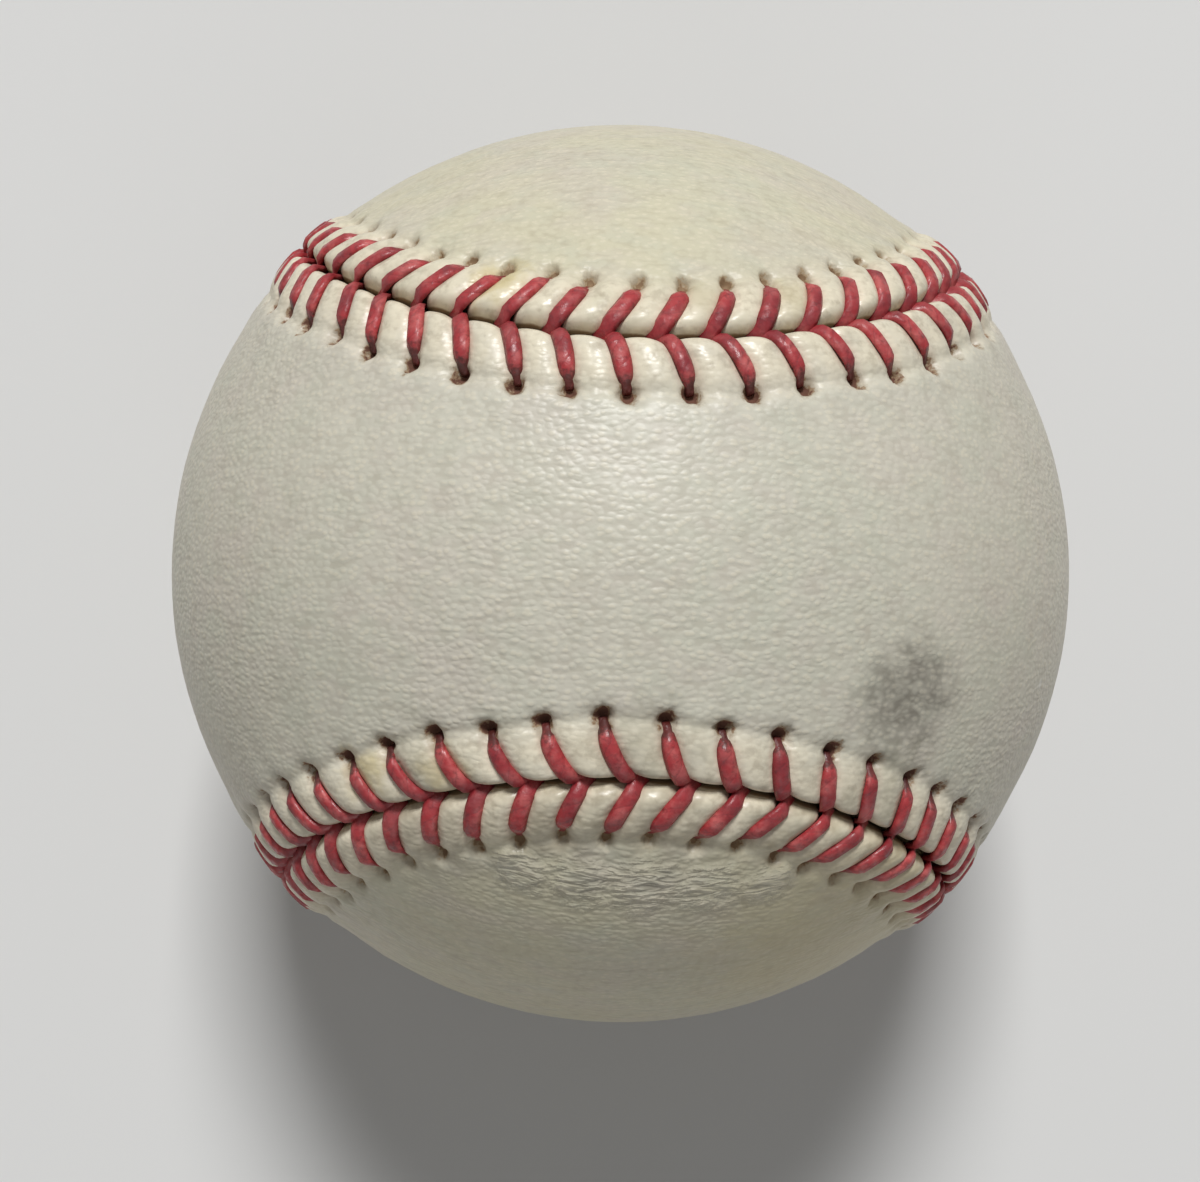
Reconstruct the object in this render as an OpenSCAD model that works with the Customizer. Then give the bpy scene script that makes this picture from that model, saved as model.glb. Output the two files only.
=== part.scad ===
// Baseball: a cork and rubber core, four windings, a cement film and two stitched leather panels.
// The origin is the centre of the ball. +Z leaves through the middle of panel A's waist,
// and +X runs along panel A towards one of its two round lobes. Panel B's lobes lie at +Y and -Y.

/* [Cover] */
// Diameter over the leather, clear of the seam
ball_d = 74.2; // [73:0.1:75.4]
// Thickness of the leather
leather_t = 1.2; // [1:0.05:1.4]
// Width of a panel's waist, measured over the leather from seam to seam
waist_w = 31.7; // [29:0.1:34]
// Lean of the seam where it crosses between the lobes, in degrees
seam_lean = 7.5; // [5:0.5:10]
// Distance from a waist's middle to the middle of its lobe, as an angle at the ball's centre
lobe_angle = 106; // [100:1:112]
// Gap between the two leather edges along the seam
seam_gap = 0.4; // [0.2:0.05:0.5]
// Height of the leather pillows between two stitches
pillow_h = 0.85; // [0.6:0.05:1]
// Distance from the seam to the top of a pillow
pillow_d = 1.9; // [1.6:0.1:2.2]
// Half the width of the roll of leather beside the seam
pillow_r = 2.8; // [2.6:0.1:3.2]
// Distance from the seam at which the leather lies smooth again
smooth_d = 8; // [7:0.5:9]

/* [Stitching] */
// Stitches round the seam, each with one arm over either panel
stitch_count = 108; // [96:2:116]
// Diameter of the waxed thread
thread_d = 1; // [0.8:0.05:1.1]
// Clearance between the thread and the leather below it
thread_fit = 0.08; // [0.06:0.01:0.12]
// Distance of the needle holes from the seam
hole_d = 4.4; // [4:0.1:4.8]
// Distance of an arm's inner end from the seam
inner_d = 0.4; // [0.35:0.05:0.6]
// How far a hole in panel A lies behind its arm's inner end, along the seam
lean_a = 1.1; // [0.5:0.1:2]
// How far a hole in panel B lies behind its arm's inner end, along the seam
lean_b = 1.9; // [0.5:0.1:2.2]
// How far the arms over panel B lie ahead of those over panel A, along the seam
stagger = 0.7; // [0.5:0.05:1]
// Uneven spacing of the hand sewing, ahead on one side of the ball and behind on the other
creep = 0.75; // [0:0.05:1]
// Height of the thread's middle line above the leather at a needle hole
hole_h = 0.3; // [0.2:0.05:0.4]
// Height of the thread's middle line at the top of an arm
crest_h = 0.8; // [0.75:0.05:0.9]
// Height of the thread's middle line at an arm's inner end
inner_h = 0.55; // [0.45:0.05:0.65]

/* [Core] */
// Diameter of the cork centre
cork_d = 20.6; // [19:0.1:22]
// Wall of the black rubber shells
black_t = 3.9; // [3.4:0.1:4.4]
// Thickness of the red rubber gasket between the black shells
gasket_t = 1.2; // [0.8:0.1:1.6]
// Wall of the red rubber halves round the black shells
red_t = 2.3; // [2:0.1:2.8]
// Clearance between a layer and the next
layer_fit = 0.1; // [0.05:0.01:0.15]

/* [Windings] */
// Thickness of the white three-ply wool winding
white_wool_t = 0.75; // [0.6:0.05:1]
// Thickness of the outer grey three-ply wool winding
grey_wool_t = 3.3; // [2.8:0.1:3.8]
// Thickness of the cotton finishing winding
cotton_t = 0.5; // [0.4:0.05:0.8]
// Thickness of the rubber cement film
cement_t = 0.2; // [0.15:0.05:0.3]
// Clearance between the cement film and the leather, which has flat facets inside
cover_fit = 0.3; // [0.25:0.05:0.4]

/* [Hidden] */
$fn = 96;
ball_r = ball_d / 2;

// Radii of the core, from the middle outwards
cork_r = cork_d / 2;
black_in_r = cork_r + layer_fit;
black_out_r = black_in_r + black_t;
red_in_r = black_out_r + layer_fit;
red_out_r = red_in_r + red_t;

// Radii of the windings, from the leather inwards, so that the first winding fills what is left
leather_in_r = ball_r - leather_t;
cement_out_r = leather_in_r - cover_fit;
cement_in_r = cement_out_r - cement_t;
cotton_out_r = cement_in_r - layer_fit;
cotton_in_r = cotton_out_r - cotton_t;
grey_out_r = cotton_in_r - layer_fit;
grey_in_r = grey_out_r - grey_wool_t;
white_out_r = grey_in_r - layer_fit;
white_in_r = white_out_r - white_wool_t;
first_out_r = white_in_r - layer_fit;
first_in_r = red_out_r + layer_fit;

// The seam is one closed curve on the ball, with a first and a third harmonic.
// The waist's width and the lean at the crossings give the share of the third harmonic
// and the curve's height.
waist_angle = waist_w / 2 / ball_r * 180 / PI;
lean_ratio = 2 * tan(seam_lean) / tan(waist_angle);
third_share = (1 + lean_ratio) / (3 + lean_ratio);
seam_rise = (1 - third_share) / tan(waist_angle);

// The seam's length is measured along short steps, and the same table places what lies on it
seam_steps = 720;
step_angle = 360 / seam_steps;
seam_table = [
    for (i = 0, s = 0; i <= seam_steps; s = s + seam_step(i), i = i + 1) [s, i * step_angle]
];
seam_length = seam_table[seam_steps][0];
stitch_pitch = seam_length / stitch_count;

// Angles along the seam at the far end of one lobe of each panel
tip_angle_a = 135;
tip_angle_b = 45;
// The sewing begins this far along the seam, as a share of one stitch
first_stitch = 0.15;
// Where an arm's top lies, as a share of the way from its hole to its inner end
crest_share = 0.58;

// Rows of the leather mesh: those over the roll, and the shares of the way from
// the smooth leather to the panel's middle line
roll_rows = 4;
field_shares = [0.25, 0.5, 0.75, 0.92];
panel_a = 1;
panel_b = -1;

leather_colour = [0.9, 0.87, 0.78];
thread_colour = [0.66, 0.13, 0.17];
cork_colour = [0.72, 0.53, 0.34];
black_rubber_colour = [0.1, 0.1, 0.11];
red_rubber_colour = [0.62, 0.13, 0.12];
grey_wool_colour = [0.5, 0.53, 0.57];
white_wool_colour = [0.88, 0.86, 0.8];
cotton_colour = [0.94, 0.93, 0.88];
cement_colour = [0.8, 0.72, 0.52];

function unit(v) = v / norm(v);
function turn_of(length) = length / ball_r * 180 / PI;
function between(a, b, share) =
    let (w = acos(min(1, a * b)))
    w < 0.001 ? a : (sin((1 - share) * w) * a + sin(share * w) * b) / sin(w);

// Direction of the seam from the ball's centre. The seam is highest at 45 and 225 degrees.
function seam_direction(t) =
    let (
        x = cos(t) + third_share * cos(3 * t),
        y = sin(t) - third_share * sin(3 * t),
        z = seam_rise * sin(2 * t)
    )
    unit([(x - y) / sqrt(2), (x + y) / sqrt(2), z]);
function seam_step(i) =
    ball_r * norm(seam_direction((i + 1) * step_angle) - seam_direction(i * step_angle));
function seam_angle(s) = lookup(s - seam_length * floor(s / seam_length), seam_table);

// Direction of a point beside the seam, on the side of one panel
function beside_seam(s, d, side) =
    let (
        t = seam_angle(s),
        p = seam_direction(t),
        along = unit(seam_direction(t + step_angle) - seam_direction(t - step_angle)),
        inwards = side * cross(p, along)
    )
    cos(turn_of(d)) * p + sin(turn_of(d)) * inwards;

// Place of an arm's inner end along the seam
function stitch_place(n, side) =
    (n + first_stitch) * stitch_pitch
        - creep * cos(360 * n / stitch_count - tip_angle_b)
        + (side == panel_a ? 0 : stagger);
function lean_of(side) = side == panel_a ? lean_a : lean_b;

// Circle through three points of a plane, as [centre, radius]
function circle_through(a, b, c) =
    let (
        p = b - a,
        q = c - a,
        k = 2 * (p.x * q.y - p.y * q.x),
        u = [q.y * (p * p) - p.y * (q * q), p.x * (q * q) - q.x * (p * p)] / k
    )
    [a + u, norm(u)];

// An arm is an arc in the plane of its two ends and the ball's centre.
// It comes back as [outward axis, axis along the arm, arc's centre, arc's radius, first and last angle].
function arm_arc(n, side) =
    let (
        s = stitch_place(n, side),
        hole = beside_seam(s - lean_of(side), hole_d, side),
        inner = beside_seam(s, inner_d, side),
        crest = between(hole, inner, crest_share),
        out = unit(hole + inner),
        along = unit(inner - hole),
        p = (ball_r + hole_h) * [hole * out, hole * along],
        q = (ball_r + crest_h) * [crest * out, crest * along],
        r = (ball_r + inner_h) * [inner * out, inner * along],
        arc = circle_through(p, q, r),
        from = p - arc[0],
        to = r - arc[0]
    )
    [out, along, arc[0], arc[1], atan2(from.y, from.x), atan2(to.y, to.x)];

// Radius at which the leather passes just below an arm, in a given direction
function radius_below(arm, direction) =
    let (
        w = atan2(direction * arm[1], direction * arm[0]),
        offset = arm[2].x * sin(w) - arm[2].y * cos(w),
        seat_r = arm[3] - thread_d / 2 - thread_fit
    )
    arm[2].x * cos(w) + arm[2].y * sin(w) + sqrt(seat_r * seat_r - offset * offset);

// Height of a pillow of leather between two arms
function pillow_height(d) = pillow_h * sqrt(max(0, 1 - pow((d - pillow_d) / pillow_r, 2)));

// Nearest point of a panel's middle line, which runs from lobe to lobe over the waist
function middle_line(p, side) =
    let (
        m = side == panel_a ? atan2(p.x, p.z) : atan2(p.y, -p.z),
        w = max(-lobe_angle, min(lobe_angle, m))
    )
    side == panel_a ? [sin(w), 0, cos(w)] : [0, sin(w), -cos(w)];

// Columns of the leather mesh alternate between an arm and the pillow after it
function column_place(k, side) =
    k % 2 == 0
        ? stitch_place(k / 2, side)
        : (stitch_place((k - 1) / 2, side) + stitch_place((k + 1) / 2, side)) / 2;
function column_point(k, d, side) =
    let (
        lean = lean_of(side) * min(1, (d - inner_d) / (hole_d - inner_d)),
        direction = beside_seam(column_place(k, side) - lean, d, side)
    )
    k % 2 == 0
        ? radius_below(arm_arc(k / 2, side), direction) * direction
        : (ball_r + pillow_height(d)) * direction;
function smooth_direction(k, side) =
    beside_seam(column_place(k, side) - lean_of(side), smooth_d, side);
function field_direction(k, share, side) =
    let (edge = smooth_direction(k, side))
    between(edge, middle_line(edge, side), share);

function roll_distance(row) = seam_gap / 2 + (hole_d - seam_gap / 2) * row / roll_rows;
function outer_rows(side, n) = [
    for (row = [0:roll_rows]) for (k = [0:n - 1]) column_point(k, roll_distance(row), side),
    for (k = [0:n - 1]) ball_r * smooth_direction(k, side),
    for (share = field_shares) for (k = [0:n - 1]) ball_r * field_direction(k, share, side),
];
function inner_rows(side, n) = [
    for (d = [seam_gap / 2, hole_d]) for (k = [0:n - 1])
        leather_in_r * beside_seam(column_place(2 * k, side) - lean_of(side) * d / hole_d, d, side),
    for (k = [0:n - 1]) leather_in_r * smooth_direction(2 * k, side),
    for (share = field_shares) for (k = [0:n - 1])
        leather_in_r * field_direction(2 * k, share, side),
];

// The middle line's own points lie halfway between the last row's two sides
function spine(side, n, step, tip, radius) = [
    for (i = [1:n / 2 - 1])
        let (
            share = field_shares[len(field_shares) - 1],
            left = field_direction(step * ((tip + i) % n), share, side),
            right = field_direction(step * ((tip - i + n) % n), share, side)
        )
        radius * unit(left + right),
];

// Triangles between two rows of n points, the second row starting at point b
function strip(a, b, n) = [
    for (i = [0:n - 1]) let (j = (i + 1) % n) each [[a + i, a + j, b + j], [a + i, b + j, b + i]],
];
// Triangles from a row of 2n points to a row of n points
function halving_strip(a, b, n) = [
    for (i = [0:n - 1])
        let (j = (i + 1) % n, mid = a + 2 * i + 1)
        each [[a + 2 * i, mid, b + i], [mid, b + j, b + i], [mid, a + 2 * j, b + j]],
];
// Triangles from the last row of n points to the spine that starts at point c
function closing_strip(a, c, n, tip) = [
    for (i = [0:n / 2 - 1])
        let (
            left = a + (tip + i) % n,
            next_left = a + (tip + i + 1) % n,
            right = a + (tip - i + n) % n,
            next_right = a + (tip - i - 1 + n) % n,
            here = i == 0 ? left : c + i - 1,
            ahead = i == n / 2 - 1 ? next_left : c + i
        )
        each [
            if (ahead != next_left) [left, next_left, ahead],
            if (here != left) [left, ahead, here],
            if (ahead != next_right) [right, ahead, next_right],
            if (here != right) [right, here, ahead],
        ],
];
function flipped(faces) = [for (f = faces) [f[2], f[1], f[0]]];

module cover_panel(side) {
    n = 2 * stitch_count;
    m = stitch_count;
    last_row = roll_rows + 1 + len(field_shares);
    last_inner_row = 2 + len(field_shares);
    tip_place = (side == panel_a ? tip_angle_a : tip_angle_b) / 360 * stitch_count;
    tip = floor(2 * (tip_place - first_stitch + lean_of(side) / stitch_pitch) + n + 0.5) % n;
    inner_tip = floor(tip / 2);
    outer_points = outer_rows(side, n);
    outer_spine = spine(side, n, 1, tip, ball_r);
    inner_points = inner_rows(side, m);
    inner_spine = spine(side, m, 2, inner_tip, leather_in_r);
    spine_start = len(outer_points);
    inner_start = spine_start + len(outer_spine);
    inner_spine_start = inner_start + len(inner_points);
    outside = [
        for (row = [0:last_row - 1]) each strip(n * row, n * (row + 1), n),
        each closing_strip(n * last_row, spine_start, n, tip),
    ];
    inside = [
        for (row = [0:last_inner_row - 1])
            each strip(inner_start + m * row, inner_start + m * (row + 1), m),
        each closing_strip(inner_start + m * last_inner_row, inner_spine_start, m, inner_tip),
    ];
    edge = halving_strip(0, inner_start, m);
    faces = concat(outside, flipped(inside), flipped(edge));
    polyhedron(
        points = concat(outer_points, outer_spine, inner_points, inner_spine),
        faces = side == panel_a ? flipped(faces) : faces,
        convexity = 6
    );
}

module stitching(side) {
    for (n = [0:stitch_count - 1]) {
        arm = arm_arc(n, side);
        out = arm[0];
        along = arm[1];
        across = cross(out, along);
        middle = arm[2].x * out + arm[2].y * along;
        multmatrix([
            [out.x, along.x, across.x, middle.x],
            [out.y, along.y, across.y, middle.y],
            [out.z, along.z, across.z, middle.z],
            [0, 0, 0, 1],
        ])
            rotate([0, 0, arm[4]])
            rotate_extrude(angle = arm[5] - arm[4])
            translate([arm[3], 0])
            circle(d = thread_d, $fn = 16);
    }
}

module layer(inner_r, outer_r) {
    difference() {
        sphere(r = outer_r);
        sphere(r = inner_r);
    }
}

// The space above a height z
module above(z) {
    translate([-ball_r, -ball_r, z]) cube([ball_d, ball_d, ball_r]);
}

module cork_core() {
    color(cork_colour) sphere(r = cork_r);
}

module black_rubber_shell() {
    intersection() {
        layer(black_in_r, black_out_r);
        above(gasket_t / 2 + layer_fit);
    }
}

module black_rubber_shell_top() {
    color(black_rubber_colour) black_rubber_shell();
}

module black_rubber_shell_bottom() {
    color(black_rubber_colour) rotate([180, 0, 0]) black_rubber_shell();
}

module red_rubber_gasket() {
    color(red_rubber_colour) intersection() {
        layer(black_in_r, black_out_r);
        translate([-ball_r, -ball_r, -gasket_t / 2]) cube([ball_d, ball_d, gasket_t]);
    }
}

module red_rubber_half() {
    rotate([0, 90, 0]) intersection() {
        layer(red_in_r, red_out_r);
        above(layer_fit / 2);
    }
}

module red_rubber_half_left() {
    color(red_rubber_colour) rotate([0, 0, 180]) red_rubber_half();
}

module red_rubber_half_right() {
    color(red_rubber_colour) red_rubber_half();
}

module grey_wool_inner_winding() {
    color(grey_wool_colour) layer(first_in_r, first_out_r);
}

module white_wool_winding() {
    color(white_wool_colour) layer(white_in_r, white_out_r);
}

module grey_wool_outer_winding() {
    color(grey_wool_colour) layer(grey_in_r, grey_out_r);
}

module cotton_finish_winding() {
    color(cotton_colour) layer(cotton_in_r, cotton_out_r);
}

module cement_film() {
    color(cement_colour) layer(cement_in_r, cement_out_r);
}

module cover_panel_a() {
    color(leather_colour) cover_panel(panel_a);
}

module cover_panel_b() {
    color(leather_colour) cover_panel(panel_b);
}

module stitching_panel_a() {
    color(thread_colour) stitching(panel_a);
}

module stitching_panel_b() {
    color(thread_colour) stitching(panel_b);
}

cork_core();
black_rubber_shell_top();
black_rubber_shell_bottom();
red_rubber_gasket();
red_rubber_half_left();
red_rubber_half_right();
grey_wool_inner_winding();
white_wool_winding();
grey_wool_outer_winding();
cotton_finish_winding();
cement_film();
cover_panel_a();
cover_panel_b();
stitching_panel_a();
stitching_panel_b();
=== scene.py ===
"""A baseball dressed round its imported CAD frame, in stitched leather over its inner layers.

All lengths in the classes are millimetres, and meshes are written in metres.
"""

import logging
import math
from dataclasses import dataclass, field, replace
from enum import Enum
from typing import Sequence

import bmesh
import bpy
import numpy as np
from mathutils import Matrix, Vector


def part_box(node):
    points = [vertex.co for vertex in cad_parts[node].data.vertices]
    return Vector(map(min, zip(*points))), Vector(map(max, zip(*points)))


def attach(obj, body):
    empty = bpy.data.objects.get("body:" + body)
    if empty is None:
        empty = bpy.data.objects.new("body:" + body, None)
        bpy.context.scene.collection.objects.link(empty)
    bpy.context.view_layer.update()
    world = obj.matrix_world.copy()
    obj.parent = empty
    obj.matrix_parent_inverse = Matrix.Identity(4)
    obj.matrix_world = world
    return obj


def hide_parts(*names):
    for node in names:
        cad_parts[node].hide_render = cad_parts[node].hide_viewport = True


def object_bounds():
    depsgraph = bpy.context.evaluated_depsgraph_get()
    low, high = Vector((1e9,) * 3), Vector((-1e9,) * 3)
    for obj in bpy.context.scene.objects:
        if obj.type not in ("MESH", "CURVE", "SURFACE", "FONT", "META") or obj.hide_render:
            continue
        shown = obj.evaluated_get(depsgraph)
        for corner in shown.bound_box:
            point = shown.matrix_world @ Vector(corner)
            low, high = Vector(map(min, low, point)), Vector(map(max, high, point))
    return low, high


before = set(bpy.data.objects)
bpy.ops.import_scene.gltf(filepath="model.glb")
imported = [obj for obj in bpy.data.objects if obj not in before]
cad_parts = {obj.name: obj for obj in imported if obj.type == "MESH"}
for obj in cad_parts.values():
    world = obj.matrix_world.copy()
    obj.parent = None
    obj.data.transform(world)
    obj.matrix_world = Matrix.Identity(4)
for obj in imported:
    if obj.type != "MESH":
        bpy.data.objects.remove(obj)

CAD_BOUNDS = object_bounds()
MM = 0.001
MERGE_DISTANCE = 1e-7
SMALLEST_ANGLE = 1e-6
# Sockets of a Mix node for colours: the factor and the two colours, and the mixed colour.
MIX_INPUTS, MIX_OUTPUT = (0, 6, 7), 2
# Leather's pebbles and wrinkles are twice as long along the grain as across it.
LONG_WAY = (0.5, 1.0, 1.0)
LOG = logging.getLogger("baseball")
Array = np.ndarray
Colour = tuple[float, float, float]
Direction = tuple[float, float, float]
Mesh = bmesh.types.BMesh
Material = bpy.types.Material
Piece = bpy.types.Object
Socket = bpy.types.NodeSocket
Tree = bpy.types.NodeTree
Value = Socket | float


class Side(Enum):
    """The cover panel that a point beside the seam lies on."""

    A = 1
    B = -1


class Uneven(Enum):
    """What the small errors of hand sewing change at a stitch."""

    ALONG = 0
    OUTWARDS = 1
    FULLNESS = 2


class Ply(Enum):
    """Kinds of yarn in the ball, each with the number of strands twisted in it."""

    THREAD = 2
    THREE_PLY = 3
    FOUR_PLY = 4


def unit(vectors: Array | Sequence[float]) -> Array:
    """Scales each vector to length one."""
    return vectors / np.linalg.norm(vectors, axis=-1, keepdims=True)


def smooth(value: Array, low: float, high: float) -> Array:
    """Rises smoothly from 0 to 1.

    Args:
        value: The values.
        low: Value at which the rise starts.
        high: Value at which it ends.

    Returns:
        The shares of the rise.
    """
    share = np.clip((value - low) / (high - low), 0.0, 1.0)
    return share * share * (3.0 - 2.0 * share)


def blend_directions(first: Array, last: Array, share: Array) -> Array:
    """Turns from one direction to another along the ball.

    Args:
        first: Directions of length one.
        last: Directions of length one.
        share: How far to turn, from 0 to 1, with a last axis of length one.

    Returns:
        The directions in between, of length one.
    """
    angle = np.arccos(np.clip((first * last).sum(-1, keepdims=True), -1.0, 1.0))
    angle = np.maximum(angle, SMALLEST_ANGLE)
    return unit(np.sin((1.0 - share) * angle) * first + np.sin(share * angle) * last)


@dataclass(frozen=True)
class Swell:
    """A smooth unevenness, the sum of plane waves of random direction."""

    height: float
    length: float
    seed: int
    count: int = 24
    shortest: float = 0.6
    longest: float = 1.6

    def at(self, points: Array) -> Array:
        """Height of the unevenness.

        Args:
            points: Places in millimetres.

        Returns:
            One value a point, mostly between minus and plus the height.
        """
        rng = np.random.default_rng(self.seed)
        ways = unit(rng.normal(size=(self.count, 3)))
        ways = ways * rng.uniform(self.shortest, self.longest, (self.count, 1))
        phases = rng.uniform(0.0, 2.0 * math.pi, self.count)
        ripples = np.sin(points @ ways.T * (2.0 * math.pi / self.length) + phases)
        return self.height * (ripples.sum(-1) / math.sqrt(self.count))


@dataclass(frozen=True)
class Seam:
    """The seam's curve on the ball, and the places of the stitches along it."""

    radius: float
    waist_width: float = 31.7
    crossing_lean: float = 7.5
    lobe_angle: float = 106.0
    stitches: int = 108
    first_stitch: float = 0.15
    stagger: float = 0.7
    creep: float = 0.75
    hole_distance: float = 4.4
    inner_distance: float = 0.4
    smooth_distance: float = 8.0
    lean_a: float = 1.1
    lean_b: float = 1.9
    bend_a: float = 0.75
    bend_b: float = 0.25
    bend_length: float = 0.75
    straightening: float = 1.3
    tip_share_a: float = 0.375
    tip_share_b: float = 0.125
    hand_error: float = 0.13
    seed: int = 108
    steps: int = 4320
    probe_angle: float = 1e-3
    table: tuple[Array, Array] = field(init=False, repr=False)
    errors: dict[Side, Array] = field(init=False, repr=False)

    def __post_init__(self) -> None:
        """Measures the curve's length and draws the small errors of hand sewing."""
        angles = np.linspace(0.0, 2.0 * math.pi, self.steps + 1)
        points = self.direction(angles) * self.radius
        lengths = np.linalg.norm(np.diff(points, axis=0), axis=1)
        object.__setattr__(self, "table", (np.concatenate([[0.0], np.cumsum(lengths)]), angles))
        rng = np.random.default_rng(self.seed)
        shape = (len(Uneven), self.stitches)
        drawn = {side: rng.normal(0.0, self.hand_error, shape) for side in Side}
        object.__setattr__(self, "errors", drawn)

    @property
    def length(self) -> float:
        """Whole length of the seam."""
        return float(self.table[0][-1])

    @property
    def pitch(self) -> float:
        """Distance from one stitch to the next."""
        return self.length / self.stitches

    def direction(self, angle: Array) -> Array:
        """Direction of the seam from the ball's centre.

        Args:
            angle: Angles of the curve in radians, which has a first and a third harmonic.

        Returns:
            Directions of length one.
        """
        waist = self.waist_width / 2.0 / self.radius
        ratio = 2.0 * math.tan(math.radians(self.crossing_lean)) / math.tan(waist)
        third = (1.0 + ratio) / (3.0 + ratio)
        rise = (1.0 - third) / math.tan(waist)
        x = np.cos(angle) + third * np.cos(3.0 * angle)
        y = np.sin(angle) - third * np.sin(3.0 * angle)
        z = rise * np.sin(2.0 * angle)
        turned = np.stack([(x - y) / math.sqrt(2.0), (x + y) / math.sqrt(2.0), z], -1)
        return unit(turned)

    def beside(self, place: Array, distance: Array, side: Side) -> Array:
        """Direction of points beside the seam.

        Args:
            place: Distance along the seam.
            distance: Distance from the seam over the ball.
            side: Panel that the points lie on.

        Returns:
            Directions of length one.
        """
        lengths, angles = self.table
        angle = np.interp(np.mod(place, self.length), lengths, angles)
        here = self.direction(angle)
        ahead, behind = angle + self.probe_angle, angle - self.probe_angle
        along = unit(self.direction(ahead) - self.direction(behind))
        inwards = side.value * np.cross(here, along)
        turn = np.asarray(distance / self.radius)[..., None]
        return np.cos(turn) * here + np.sin(turn) * inwards

    def drift(self, stitch: Array, side: Side, kind: Uneven) -> Array:
        """Error of the hand sewing, blended between neighbouring stitches.

        Args:
            stitch: Stitch numbers.
            side: Panel that the arms lie on.
            kind: What the error changes.

        Returns:
            Errors in millimetres, or as a share for the fullness.
        """
        values = self.errors[side][kind.value]
        numbers = np.arange(self.stitches + 1)
        return np.interp(np.mod(stitch, self.stitches), numbers, np.append(values, values[0]))

    def place(self, stitch: Array, side: Side) -> Array:
        """Distance along the seam of an arm's inner end.

        Args:
            stitch: Stitch numbers, whole or not.
            side: Panel that the arm lies on.

        Returns:
            Distances in millimetres.
        """
        half_round = 2.0 * math.pi * stitch / self.stitches - math.pi / 4.0
        start = 0.0 if side is Side.A else self.stagger
        return (stitch + self.first_stitch) * self.pitch - self.creep * np.cos(half_round) + start

    def over_panel(self, stitch: Array, distance: Array, side: Side) -> Array:
        """Directions over a panel, leaning with the arms and shifted by the sewing's errors.

        Args:
            stitch: Stitch number, whole on an arm.
            distance: Nominal distance from the seam.
            side: Panel that the points lie on.

        Returns:
            Directions of length one.
        """
        lean, bend = (self.lean_a, self.bend_a) if side is Side.A else (self.lean_b, self.bend_b)
        arm_length = self.hole_distance - self.inner_distance
        share = np.clip((distance - self.inner_distance) / arm_length, -1.0, 1.0)
        over_arm = 1.0 - np.maximum(1.0 - share, 0.0) ** self.straightening
        leaning = np.where(share > 0.0, over_arm, share * self.straightening)
        near = np.sin(np.clip(distance / self.smooth_distance, 0.0, 1.0) * math.pi)
        shift = bend * np.exp(-np.maximum(distance, 0.0) / self.bend_length) - lean * leaning
        place = self.place(stitch, side) + shift + self.drift(stitch, side, Uneven.ALONG) * near
        reach = distance + self.drift(stitch, side, Uneven.OUTWARDS) * near
        return self.beside(place, reach, side)

    def middle_line(self, directions: Array, side: Side) -> Array:
        """Nearest points of a panel's middle line, which runs from lobe to lobe over the waist.

        Args:
            directions: Directions over the panel.
            side: The panel.

        Returns:
            Directions of length one.
        """
        x, y, z = directions[..., 0], directions[..., 1], directions[..., 2]
        reach = math.radians(self.lobe_angle)
        if side is Side.A:
            angle = np.clip(np.arctan2(x, z), -reach, reach)
            return np.stack([np.sin(angle), np.zeros_like(angle), np.cos(angle)], -1)
        angle = np.clip(np.arctan2(y, -z), -reach, reach)
        return np.stack([np.zeros_like(angle), np.sin(angle), -np.cos(angle)], -1)

    def tip(self, side: Side) -> float:
        """Stitch number at the far end of a lobe.

        Args:
            side: Panel of the lobe.

        Returns:
            A number that is whole or halfway between two.
        """
        share = self.tip_share_a if side is Side.A else self.tip_share_b
        lean = self.lean_a if side is Side.A else self.lean_b
        stitch = (self.length * share + lean) / self.pitch - self.first_stitch
        return round(2.0 * stitch) / 2.0


@dataclass(frozen=True)
class ArmTaper:
    """Width of an arm at its hole and at the gap, and how soon it is full, all as shares."""

    at_hole: float
    widening: float
    at_gap: float
    gap_starts: float = 0.7

    def width(self, share: Array) -> Array:
        """Width of the arm as a share of the full one.

        Args:
            share: Share of the way from the hole to the seam.

        Returns:
            One share for each place.
        """
        opened = np.sin(np.clip(share / self.widening, 0.0, 1.0) * math.pi / 2.0)
        taper = self.at_hole + (1.0 - self.at_hole) * opened
        return taper * (1.0 - (1.0 - self.at_gap) * smooth(share, self.gap_starts, 1.0))


@dataclass(frozen=True)
class ThreadShape:
    """Size of the waxed thread, and how far its middle lies below the top of the leather."""

    width: float = 1.28
    thickness: float = 0.74
    sink: float = 0.24
    taper_a: ArmTaper = ArmTaper(0.46, 0.42, 0.88)
    taper_b: ArmTaper = ArmTaper(0.48, 0.38, 1.06)
    narrowest: float = 0.93
    widest: float = 1.07
    flatness: float = 0.85
    thin_share: float = 0.8


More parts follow.
